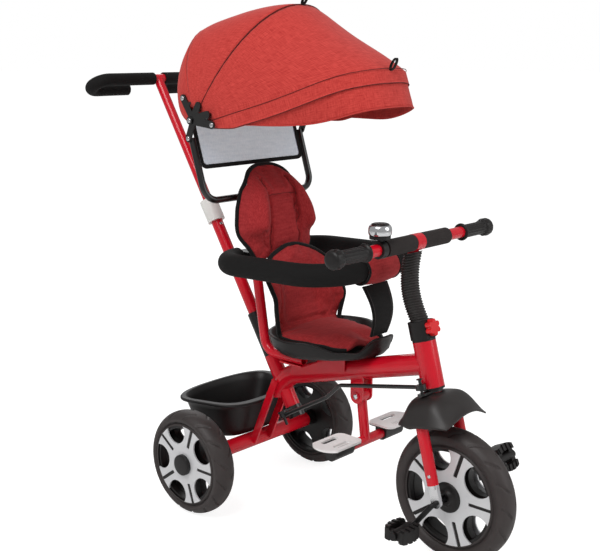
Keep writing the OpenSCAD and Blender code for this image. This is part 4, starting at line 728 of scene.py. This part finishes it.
backPad = puffed("backCushion", "back_pad", backrest["made"], lambda v: float(v.normal.x < -0.5))
for v in backPad.data.vertices:
    v.co = backShape(v.co)
seams = []
for side in (-1, 1):
    line = [(mix(*backrest["seamRun"], i / 60), mix(*backrest["panel"], i / 60)) for i in range(61)]
    seams.append(hugging([at(hoopX(z) + backrest["face"], side * y, z) for z, y in line], backPad.data, 0))
crossX = hoopX(backrest["cross"]) + backrest["face"]
seams.append(hugging([at(crossX, y, backrest["cross"]) for y in range(-41, 42, 2)], backPad.data, 0))
seamDepth(backPad.data, seams, *backrest["groove"])
tucks = []
for z in backrest["tucks"]:
    line = [(-mix(*backrest["tuckRun"], i / 12), z + mix(0, backrest["tuckRise"], i / 12)) for i in range(13)]
    tucks.append([at(hoopX(z) + backrest["wing"], y, rise) for y, rise in line])
seamDepth(backPad.data, [hugging(line, backPad.data, 0, 2) for line in tucks], *backrest["tuckGroove"])
# dark lines along the back cushion's seams: painted groove shade over the thread
for tag, line in zip(("Right", "Left", "Cross"), seams):
    sewnLine("backSeam" + tag, line, backPad.data, 0, 0.0005, seamShadeAndThread)
backSides = [[backEdge(side, i / 40) for i in range(41)] for side in (-1, 1)]
sewnLine("backPiping", [backShape(p) for p in roundTop(*backSides)], backPad.data, 0.001, 0.005, blackTape)


liner = {
    "front": 322, "back": 147.5, "bend": 32, "lift": 19, "thick": 26, "lumbarTop": 551.272, "lean": 0.085,
    "width": 210, "wing": 46, "fold": (141, 399), "groove": (0.005, 0.005),
    "made": {"voxel": 0.005, "shrink": 0.0025, "cap": 0.006, "pressure": 4.0},
}
linerFloor = seat["shellZ"] + seat["wall"] + liner["lift"] + liner["thick"] / 2
cushion = {
    "front": 300, "spread": ((224, 1), (242, 1.16), (262, 1.36), (281, 1.6), (300, 2.3)), "level": 30,
    "wave": 5, "waveRun": (245, 50), "waveStep": 13, "corner": 0.12, "cornerAt": (32, 45), "cornerRun": (190, 30),
}


def cushionShape(p):
    # the cushion ends in a straight, wavy edge short of the nose, and is full at the bend
    x, z = (p.x - axleX) * 1000, p.z * 1000
    (middle, reach), (end, run) = cushion["cornerAt"], cushion["cornerRun"]
    wide = 1 + cushion["corner"] * smooth(1 - abs(z - linerFloor - middle) / reach) * smooth((end - x) / run)
    if x > liner["back"] and z < linerFloor + cushion["level"]:
        x = mix(liner["back"], cushion["front"], (x - liner["back"]) / (liner["front"] - liner["back"]))
        wide *= fromTable(cushion["spread"], x)
        wave = 1 + sin(p.y * 1000 * wide / cushion["waveStep"])
        z -= cushion["wave"] * smooth((x - cushion["waveRun"][0]) / cushion["waveRun"][1]) * wave
    return Vector((x / 1000 + axleX, p.y * wide, z / 1000))


def shellTaper(u):
    return 1 - 0.46 * smooth((u + 0.25) / 1.1)


def shellHalf(x):
    u = (x - seat["shellBack"]) / seat["shellLength"] * 2 - 1
    return seat["shellWidth"] / 2 * shellTaper(u) * max(0, 1 - abs(u) ** 2.5) ** 0.4


def linerEdge(side):
    line = []
    for i in range(33):
        t = i / 32
        x = mix(liner["front"], liner["back"], t)
        fall = sqrt(1 - (1 - min(1, t * 2.5 + 0.04)) ** 2)
        line.append(at(x, side * shellHalf(x) * 0.8 * mix(0.45, 1, fall), linerFloor))
    cx, cz = liner["back"] - liner["bend"], linerFloor + liner["bend"]
    n = hypot(1, liner["lean"])
    for i in range(1, 41):
        t = mix(0.1, 1, i / 40)
        fall = sqrt(1 - max(0, 2 * t - 1) ** 2 * 0.96)
        half = liner["width"] / 2 * mix(0.92, 1, sin(pi * t)) * fall
        wing = liner["wing"] * smooth((1 - t) / 0.8)
        rise = (liner["lumbarTop"] - cz) * t
        line.append(at(cx + (wing - rise * liner["lean"]) / n, side * half, cz + (rise + wing * liner["lean"]) / n))
    return line


linerPad = puffed("seatCushion", "seat_liner", liner["made"],
                  lambda v: float(v.normal.z < -0.5 or v.normal.x < -0.6))
for v in linerPad.data.vertices:
    v.co = cushionShape(v.co)
foldX, foldZ = liner["fold"]
fold = hugging([at(foldX, y, foldZ) for y in range(-84, 85, 3)], linerPad.data, 0)
seamDepth(linerPad.data, [fold], *liner["groove"])
linerOutline = [cushionShape(p) for p in roundTop(linerEdge(-1), linerEdge(1))]
sewnLine("seatPiping", linerOutline, linerPad.data, 0.001, 0.0046, blackTape)

wrap = {"radius": 0.026, "half": 0.046, "made": {"voxel": 0.004, "shrink": 0.001, "cap": 0.004, "pressure": 3.0}}
tummy = puffed("tummyCushion", "tummy_pad", wrap["made"], lambda v: 0.0)
ringFront = boxMiddle("tummy_pad")
for side in (-1, 1):
    turn = [tau * i / 36 for i in range(37)]
    ring = [Vector((wrap["radius"] * cos(a), side * wrap["half"], wrap["radius"] * sin(a))) for a in turn]
    sewnLine("tummyBinding" + sideTag(side), [ringFront + p for p in ring], tummy.data, 0.0006, 0.0024, blackTape, 2)
print("cushions made")


# crotch strap

strap = {"top": (321, 498.8), "low": (332, 401), "bulge": 15, "width": (74, 50), "thick": 0.0036, "stitch": 0.08}


def strapPlace(u, v):
    (tx, tz), (lx, lz) = strap["top"], strap["low"]
    x = mix(tx, lx, v) + strap["bulge"] * sin(pi * v)
    return at(x, (u - 0.5) * mix(*strap["width"], v), mix(tz, lz, v))


strapPiece = newPiece("crotchStrap", wrapGrid(12, 40, strapPlace), blackTape, "frame", "crotch_strap")
addWall(strapPiece, strap["thick"], 0)
for tag, u in (("Right", strap["stitch"]), ("Left", 1 - strap["stitch"])):
    line = [strapPlace(u, i / 40) + Vector((strap["thick"] / 2, 0, 0)) for i in range(1, 40)]
    newPiece("strapStitch" + tag, tubeMesh(line, 0.0007), edgeThread, "frame")
print("strap made")


# seat shell, moulded: each ring is (share of the outline, inset, height, rise of the nose), outside first

shellRings = (
    (0.0, 0, 1, 0), (0.66, 0, 0, 6), (0.85, 0, 6, 7.5), (0.93, 0, 16, 9), (0.975, 1, 30, 11), (1, 3, 40, 12),
    (1, 0.6, 40.6, 12), (1, 0, 41.8, 12), (1, 1.2, 43, 12), (1, 5, 43, 12), (0.985, 6, 41, 11.8),
    (0.87, 3, 22.35, 9), (0.74, 3, 12.6, 7.5), (0.56, 3, 3, 6), (0.0, 0, 4, 0),
)
thigh = {"depth": 0.42, "from": 0.45, "to": (0.98, 0.3), "full": 30}


def shellPlace(u, v):
    a = tau * u
    c, w = cos(a), power(cos(a), 0.8)
    ring, inset, z, nose = betweenRings(shellRings, v)
    # cut low where the thighs lie
    scoop = smooth(c / thigh["from"]) * smooth((thigh["to"][0] - c) / thigh["to"][1])
    inset *= ring > 0
    halfL = seat["shellLength"] / 2 * ring - inset
    halfW = seat["shellWidth"] / 2 * ring * shellTaper(w) - inset
    rise = z * (1 - thigh["depth"] * scoop) + nose * max(0, c) * (1 - scoop * min(1, z / thigh["full"]))
    middleX = seat["shellBack"] + seat["shellLength"] / 2
    return at(middleX + halfL * w, halfW * power(sin(a), 0.8), seat["shellZ"] + rise)


newPiece("seatShell", wrapGrid(96, 28, shellPlace, closed=True), satinPlastic, "frame", "seat_shell")


# basket, moulded: each ring is (share of the outline, inset of the front, height), outside first

tub = {"front": 44, "length": 162, "rear": 296, "frontWidth": 200, "z": 124.05, "bow": 16, "keep": 0.25, "core": 0.3}
tubRings = (
    (0.0, 30, 0), (0.62, 27, 0), (0.68, 26, 1.4), (0.79, 19, 40), (0.9, 12, 79), (0.94, 8, 80), (0.99, 1, 80),
    (1, 0, 81.5), (1, 0, 84.5), (0.99, 1, 86), (0.9, 12, 86), (0.875, 12.5, 84), (0.76, 21, 42), (0.65, 29, 4.4),
    (0.6, 31, 3), (0.0, 34, 3),
)


def tubPlace(u, v):
    a = tau * u
    c, s = power(cos(a), 0.5), power(sin(a), 0.5)
    shrink, inset, z = betweenRings(tubRings, v)
    half = mix(tub["rear"], tub["frontWidth"], (c + 1) / 2) / 2 * shrink
    reach = mix(shrink, 1, tub["keep"] * min(1, shrink / tub["core"]))
    bow = tub["bow"] * (1 - s * s) * max(0, -c)
    x = tub["front"] - tub["length"] / 2 * (1 - c * reach) - inset * (1 + c) / 2 - bow
    return at(x, half * s, tub["z"] + z)


newPiece("basketTub", wrapGrid(112, 45, tubPlace, closed=True), satinPlastic, "frame", "basket")
print("shell and basket made")


# gaiter

gaiter = {
    "from": 329.45, "length": 126, "ribs": 26, "outer": 36, "inner": 32,
    "barX": 25, "sway": 13, "stemLow": 325.05, "barU": 473.45,
}


def stemX(u):
    t = (u - gaiter["stemLow"]) / (gaiter["barU"] - gaiter["stemLow"])
    return gaiter["barX"] * t * t - gaiter["sway"] * sin(pi * t)


def gaiterPlace(u, v):
    height = gaiter["from"] + gaiter["length"] * v
    wave = 0.5 + 0.5 * cos(tau * gaiter["ribs"] * v)
    r = mix(gaiter["inner"], gaiter["outer"], wave ** 0.7) / 2
    a = tau * u
    return steerAt(stemX(height) + r * cos(a), r * sin(a), height)


hose = wrapGrid(40, gaiter["ribs"] * 10, gaiterPlace, closed=True)
newPiece("ribbedGaiter", hose, charcoal, "steering", "gaiter")
print("gaiter made")


# tyres with a shallow tread; bead and shoulder are (up, in) from the disc's edge and the crown's foot, in mm

tyre = {
    "crown": 0.0105, "bead": ((0, 0.6), (3.5, 0.6), (4.2, 4.5), (7.2, 4.5), (8, 0)), "shoulder": ((-3, 0), (-1, 0.6)),
    "roundness": (2.3, 0.8), "crownInset": 0.0016, "groove": 0.0026, "grooveHalf": (0.0036, 0.0022),
    "grooveFrom": (0.14, 0.16), "grooveTo": (0.99, 0.1), "slant": (0.6, 1.4),
}


def treadDepth(across, turn):
    # grooves that slant back from the middle, and are staggered from side to side; turn is counted in grooves
    slant = turn + tyre["slant"][0] * abs(across) ** tyre["slant"][1] + (0.5 if across < 0 else 0)
    (inner, innerRun), (outer, outerRun) = tyre["grooveFrom"], tyre["grooveTo"]
    share = smooth((abs(across) - inner) / innerRun) * smooth((outer - abs(across)) / outerRun)
    return abs(slant - round(slant)), tyre["groove"] * share


def tyreMesh(node, discR, grooves):
    low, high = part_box(node)
    outer, half = (high.z - low.z) / 2, (high.y - low.y) / 2
    foot = outer - tyre["crown"]
    side = [(discR + up / 1000, half - inset / 1000) for up, inset in tyre["bead"]]
    side += [(foot + up / 1000, half - inset / 1000) for up, inset in tyre["shoulder"]]
    crowned = []
    for i in range(-16, 17):
        rise = (1 - abs(i / 16) ** tyre["roundness"][0]) ** tyre["roundness"][1]
        crowned.append((mix(foot, outer, rise), (half - tyre["crownInset"]) * -i / 16))
    profile = side + crowned + [(r, -y) for r, y in reversed(side)]
    bm = bmesh.new()
    spinChain(bm, [bm.verts.new((0, y, r)) for r, y in profile], (0, 1, 0), 480)
    for v in bm.verts:
        r = hypot(v.co.x, v.co.z)
        if r > foot - 0.0015:
            gap, depth = treadDepth(v.co.y / half, atan2(v.co.x, v.co.z) / tau * grooves)
            gap *= tau * outer / grooves
            scale = (r - depth * smooth((tyre["grooveHalf"][0] - gap) / tyre["grooveHalf"][1])) / r
            v.co.x *= scale
            v.co.z *= scale
    bmesh.ops.translate(bm, verts=bm.verts, vec=boxMiddle(node))
    return bm


tyrePieces = (
    ("tyreRearRight", "tyre_rear_right", "rear_wheel_right", 0.0805, 15),
    ("tyreRearLeft", "tyre_rear_left", "rear_wheel_left", 0.0805, 15),
    ("tyreFront", "front_tyre", "front_wheel", 0.0925, 17),
)
for name, node, body, discR, grooves in tyrePieces:
    newPiece(name, tyreMesh(node, discR, grooves), tyreFoam, body, node)
print("tyres made")


# small hardware: caps, rivets and screw heads, with sizes in mm

def domedCap(name, centre, axis, radius, height, body, material=chromePlate, skirt=0.6):
    profile = [(0, height)]
    for a in (20, 40, 55, 68, 78, 85):
        s, c = sinCos(a)
        profile.append((radius * s, height * c ** 0.5))
    profile += [(radius, 0), (radius, -skirt), (0, -skirt)]
    newPiece(name, spunMesh(profile, centre, axis, 36), material, body)


hubCap = {"radius": 21.5, "height": 3.2, "skirt": 5.6}
axleLow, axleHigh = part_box("rear_axle")
for side, y, body in ((-1, axleLow.y, "rear_wheel_right"), (1, axleHigh.y, "rear_wheel_left")):
    place = Vector((axleX, y, boxMiddle("tyre_rear_right").z))
    domedCap("hubCap" + sideTag(side), place, (0, side, 0), hubCap["radius"], hubCap["height"], body, satinPlastic,
             hubCap["skirt"])

hingeRivets = (
    ("Low", -15, -36, 165.4, "frame"), ("Rear", -28, 41.5, 166.4, "frame"), ("Pivot", 0, 0, 175.1, "frame"),
    ("Lead", 59.7, -6.3, 172.2, "hood_leading"),
)
for side in (-1, 1):
    tag, out = sideTag(side), (0, side, 0)
    for part, dx, dz, y, body in hingeRivets:
        place = at(hood["x"] + dx, side * y, hood["z"] + dz)
        domedCap("rivet" + part + tag, place, out, 4.6, 2.0, body)
    domedCap("legScrew" + tag, steerAt(3, side * 66.6, 52), out, 3.2, 1.6, "steering")
    domedCap("footBolt" + tag, at(292, side * 18.4, 270.8), out, 5.2, 2.2, "frame")

# spring button of the push bar, below the collar
pushPole = {"tilt": 31.3, "radius": 12.4, "down": 36, "turn": (0.98, -0.2)}
poleSin, poleCos = sinCos(pushPole["tilt"])
face = Vector((pushPole["turn"][0] * poleCos, pushPole["turn"][1], pushPole["turn"][0] * poleSin))
reach = Vector((poleSin, 0, -poleCos)) * pushPole["down"] + face * pushPole["radius"]
domedCap("poleButton", boxMiddle("push_collar") + reach / 1000, face, 3.4, 2.4, "push_bar")

# dished hub of the front wheel, between the disc and the fork
dishProfile = (
    (6.2, 9), (12, 9), (13, 8), (13.6, 4.5), (20, 3.4), (26, 2.6), (29, 1.2), (29.6, -1.5), (6.2, -1.5), (6.2, 9),
)
discLow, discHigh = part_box("front_discs")
wheelMiddle = boxMiddle("front_tyre")
for side, y in ((-1, discLow.y), (1, discHigh.y)):
    dish = spunMesh(dishProfile, Vector((wheelMiddle.x, y, wheelMiddle.z)), (0, side, 0), 64)
    newPiece("hubDish" + sideTag(side), dish, satinPlastic, "front_wheel")

# black inlays that fill the slits of the spokes
slit = {"start": 0.25, "width": 5.9, "deep": 2.9, "proud": 0.3, "spokes": 5, "edge": 0.0004}


def spokeInlays(name, centre, side, radius, body):
    bm = bmesh.new()
    inner, outer = radius * 2 * slit["start"], radius - slit["edge"]
    size = (outer - inner, (slit["deep"] + slit["proud"]) / 1000, slit["width"] / 1000)
    middle = ((outer + inner) / 2, side * (slit["proud"] - slit["deep"]) / 2000, 0)
    for k in range(slit["spokes"]):
        made = bmesh.ops.create_cube(bm, size=1)["verts"]
        turn = Matrix.Rotation(side * tau * k / slit["spokes"], 3, "Y")
        bmesh.ops.scale(bm, verts=made, vec=size)
        bmesh.ops.translate(bm, verts=made, vec=middle)
        bmesh.ops.rotate(bm, verts=made, cent=(0, 0, 0), matrix=turn)
    bmesh.ops.bevel(bm, geom=bm.edges[:], offset=slit["edge"], segments=2, profile=0.5, affect="EDGES", material=-1)
    bmesh.ops.translate(bm, verts=bm.verts, vec=centre)
    newPiece(name, bm, satinPlastic, body, soft=False)


inlaySets = (
    ("RearRight", -1, "disc_rear_right", "rear_wheel_right"), ("RearLeft", 1, "disc_rear_left", "rear_wheel_left"),
    ("FrontRight", -1, "front_discs", "front_wheel"), ("FrontLeft", 1, "front_discs", "front_wheel"),
)
for tag, side, node, body in inlaySets:
    discLow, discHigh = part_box(node)
    discMiddle = boxMiddle(node)
    place = Vector((discMiddle.x, discLow.y if side < 0 else discHigh.y, discMiddle.z))
    spokeInlays("spokeInlays" + tag, place, side, (discHigh.z - discLow.z) / 2, body)
print("hardware made")


# handlebar grips: flange, ribbed waist and domed end; the profile is (radius, distance out) in mm

grip = {"length": 95, "waist": 12.6, "ribs": 14, "ribHeight": 0.0005, "ribRun": (8, 3, 92, 4)}
gripFlange = ((11.1, 0), (15.8, 0), (16.6, 0.8), (17, 2.2), (16.6, 4), (15, 5.2), (13.4, 6.4))
gripEnd = (
    (13.6, 72), (15.6, 73.2), (16.7, 75.5), (17.4, 79), (17.4, 86), (16.8, 90.5), (15, 93.2), (11, 94.7), (6, 95),
    (0, 95),
)


def gripMesh(centre, side):
    waist = [(grip["waist"], 9)] + [(grip["waist"], 12 + 58 * i / 8) for i in range(9)]
    bm = spunMesh([*gripFlange, *waist, *gripEnd], Vector(), (0, side, 0), 112)
    start, rise, end, fall = grip["ribRun"]
    for v in bm.verts:
        along, r = abs(v.co.y) * 1000, hypot(v.co.x, v.co.z)
        if start < along < end and r > 0.0125:
            wave = grip["ribHeight"] * cos(grip["ribs"] * atan2(v.co.x, v.co.z))
            scale = 1 + wave * smooth((along - start) / rise) * smooth((end - along) / fall) / r
            v.co.x *= scale
            v.co.z *= scale
    bmesh.ops.translate(bm, verts=bm.verts, vec=centre)
    return bm


barLow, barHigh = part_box("bar_grips")
barMiddle = boxMiddle("bar_grips")
inward = grip["length"] / 1000
rightEnd, leftEnd = (Vector((barMiddle.x, y, barMiddle.z)) for y in (barLow.y + inward, barHigh.y - inward))
newPiece("barGripRight", gripMesh(rightEnd, -1), satinPlastic, "steering", "bar_grips")
newPiece("barGripLeft", gripMesh(leftEnd, 1), satinPlastic, "steering")


# fender: a thin saddle whose ends droop to a point at each corner; pairs are for its front and its back

fender = {
    "radius": 191, "half": 66, "spread": 5, "skirt": 13, "skirtFrom": 0.84, "drop": 36, "fall": 4.5, "keep": 0.3,
    "angles": (25, 18), "ridge": (24, 20), "corner": (46, 38), "rounding": (0.05, 0.04, 6), "wall": 0.003,
    "hole": 0.0146,
}


def fenderPlace(u, v):
    p, s = u * 2 - 1, v * 2 - 1
    roundP, roundS, squareness = fender["rounding"]
    p, s = p * (1 - roundP * s ** squareness), s * (1 - roundS * p ** squareness)
    end = 0 if p > 0 else 1
    a = radians(p * fender["angles"][end])
    droop = smooth((abs(p) - fender["keep"]) / (1 - fender["keep"]))
    low = smooth((abs(s) - fender["skirtFrom"]) / (1 - fender["skirtFrom"]))
    arch = fender["drop"] * abs(s) ** fender["fall"] + fender["skirt"] * low
    r = fender["radius"] - mix(arch, mix(fender["ridge"][end], fender["corner"][end], s * s), droop)
    return steerAt(r * sin(a), s * (fender["half"] + fender["spread"] * low * (1 - droop)), r * cos(a))


poleFoot = steerAt(0, 0, 0)
poleUp = (steerAt(0, 0, 100) - poleFoot).normalized()


def fromPole(p):
    return (p - poleFoot) - poleUp * (p - poleFoot).dot(poleUp)


def nearPole(face):
    return all(fromPole(v.co).length < fender["hole"] + 0.0004 for v in face.verts)


bm = wrapGrid(72, 72, fenderPlace)
if sum(f.normal.z for f in bm.faces) < 0:
    bmesh.ops.reverse_faces(bm, faces=bm.faces)
bmesh.ops.delete(bm, geom=[f for f in bm.faces if nearPole(f)], context="FACES")
for v in bm.verts:
    gap = fromPole(v.co)
    if gap.length < fender["hole"]:
        v.co += gap * (fender["hole"] / gap.length - 1)
addWall(newPiece("fenderShell", bm, charcoal, "steering", "fender"), fender["wall"], 1)


# pedals: the moulded block, drawn in to an oval and with its edges eased

pedal = {"oval": 0.42, "low": 0.3, "reach": 0.03, "pin": 0.0102, "edge": 0.0011}
for tag, node, body, turned in (("Right", "pedal_right", "right_pedal", 0), ("Left", "pedal_left", "left_pedal", 64)):
    bm = bmesh.new()
    bm.from_mesh(nodes[node].data)
    bmesh.ops.remove_doubles(bm, verts=bm.verts, dist=1e-5)
    bmesh.ops.dissolve_limit(bm, angle_limit=radians(1), verts=bm.verts, edges=bm.edges)
    sharp = [e for e in bm.edges if len(e.link_faces) == 2 and e.calc_face_angle() > radians(50)]
    bmesh.ops.bevel(bm, geom=sharp, offset=pedal["edge"], segments=2, profile=0.5, affect="EDGES",
                    clamp_overlap=True, material=-1)
    pedalLow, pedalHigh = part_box(node)
    centre, half = boxMiddle(node), (pedalHigh.y - pedalLow.y) / 2
    s, c = sinCos(turned)
    across, thick = Vector((c, 0, -s)), Vector((-s, 0, -c))
    for v in bm.verts:
        t = (v.co.y - centre.y) / half
        gap = v.co - centre
        wide, tall = gap.dot(across), gap.dot(thick)
        if hypot(wide, tall) > pedal["pin"]:
            narrow = 1 - sqrt(1 - pedal["oval"] * t * t)
            flat = 1 - sqrt(1 - pedal["low"] * min(1, (wide / pedal["reach"]) ** 2))
            v.co -= across * wide * narrow + thick * tall * flat
    newPiece("pedalBlock" + tag, bm, satinPlastic, body, node, soft=False)


# bell: a plated band round a low black top; profiles are shares of its radius and height

bellLow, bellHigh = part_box("bell_dome")
bell = {
    "radius": (bellHigh.x - bellLow.x) * 500, "height": (bellHigh.z - bellLow.z) * 1000,
    "foot": Vector((boxMiddle("bell_dome").x, boxMiddle("bell_dome").y, bellLow.z)),
    "band": ((0, 0.02), (0.9, 0), (0.96, 0.06), (1, 0.2), (1, 0.5), (0.97, 0.64), (0.91, 0.76), (0.85, 0.82),
             (0.8, 0.84), (0, 0.84)),
    "button": ((0, 1), (0.4, 0.99), (0.62, 0.96), (0.75, 0.91), (0.79, 0.86), (0.79, 0.82), (0, 0.82)),
}


for name, part, material, stands in (("bellBand", "band", chromePlate, "bell_dome"),
                                     ("bellButton", "button", satinPlastic, None)):
    shape = [(r * bell["radius"], h * bell["height"]) for r, h in bell[part]]
    newPiece(name, spunMesh(shape, bell["foot"], (0, 0, 1), 64), material, "bell", stands)
print("grips, fender, pedals and bell made")


# floor, light and world

studio = {
    "paper": "#f3f3f2", "size": 40, "glow": 1.7, "glowShare": 0.5, "ambient": 0.42, "aim": (0, 0, 0.5), "lamp": 2.0,
}
white = (1, 1, 1, 1)
floorPaper = bpy.data.materials.new("floorPaper")  # plain pale paper that keeps a soft shadow
floorPaper.use_nodes = True
tree = floorPaper.node_tree
tree.nodes.clear()
matt = addNode(tree, "BsdfDiffuse", inputs={"Color": colour(studio["paper"])})
glow = addNode(tree, "Emission", inputs={"Color": white, "Strength": studio["glow"]})
path = addNode(tree, "LightPath")
part = addNode(tree, "Math", {"operation": "MULTIPLY"},
               {0: path.outputs["Is Camera Ray"], 1: studio["glowShare"]})
both = addNode(tree, "MixShader",
               inputs={0: part.outputs["Value"], 1: matt.outputs["BSDF"], 2: glow.outputs["Emission"]})
addNode(tree, "OutputMaterial", inputs={"Surface": both.outputs["Shader"]})
bm = bmesh.new()
bmesh.ops.create_grid(bm, x_segments=1, y_segments=1, size=studio["size"])
floor = newPiece("floor", bm, floorPaper, None)
floor.location.z = cadBox[0].z - 0.0005

# the camera sees a white world, and the part is lit by a dimmer one
world = bpy.data.worlds.new("studio")
scene.world = world
world.use_nodes = True
tree = world.node_tree
tree.nodes.clear()
path = addNode(tree, "LightPath")
seen = addNode(tree, "Math", {"operation": "MAXIMUM"},
               {0: path.outputs["Is Camera Ray"], 1: path.outputs["Is Transmission Ray"]})
soft = addNode(tree, "Background", inputs={"Color": white, "Strength": studio["ambient"]})
bright = addNode(tree, "Background", inputs={"Color": white, "Strength": 1.0})
both = addNode(tree, "MixShader",
               inputs={0: seen.outputs["Value"], 1: soft.outputs["Background"], 2: bright.outputs["Background"]})
addNode(tree, "OutputWorld", inputs={"Surface": both.outputs["Shader"]})


def softLight(name, place, watts):
    lamp = bpy.data.lights.new(name, "AREA")
    lamp.energy, lamp.size, lamp.shape = watts, studio["lamp"], "DISK"
    light = bpy.data.objects.new(name, lamp)
    scene.collection.objects.link(light)
    light.location = place
    light.rotation_euler = (Vector(studio["aim"]) - Vector(place)).to_track_quat("-Z", "Y").to_euler()


softLight("key", (0.5, -2.2, 3.1), 68)
softLight("fill", (2.6, 1.0, 1.6), 24)
softLight("back", (-2.4, 1.8, 2.2), 20)
scene.view_settings.view_transform = "Standard"
print("stage made")
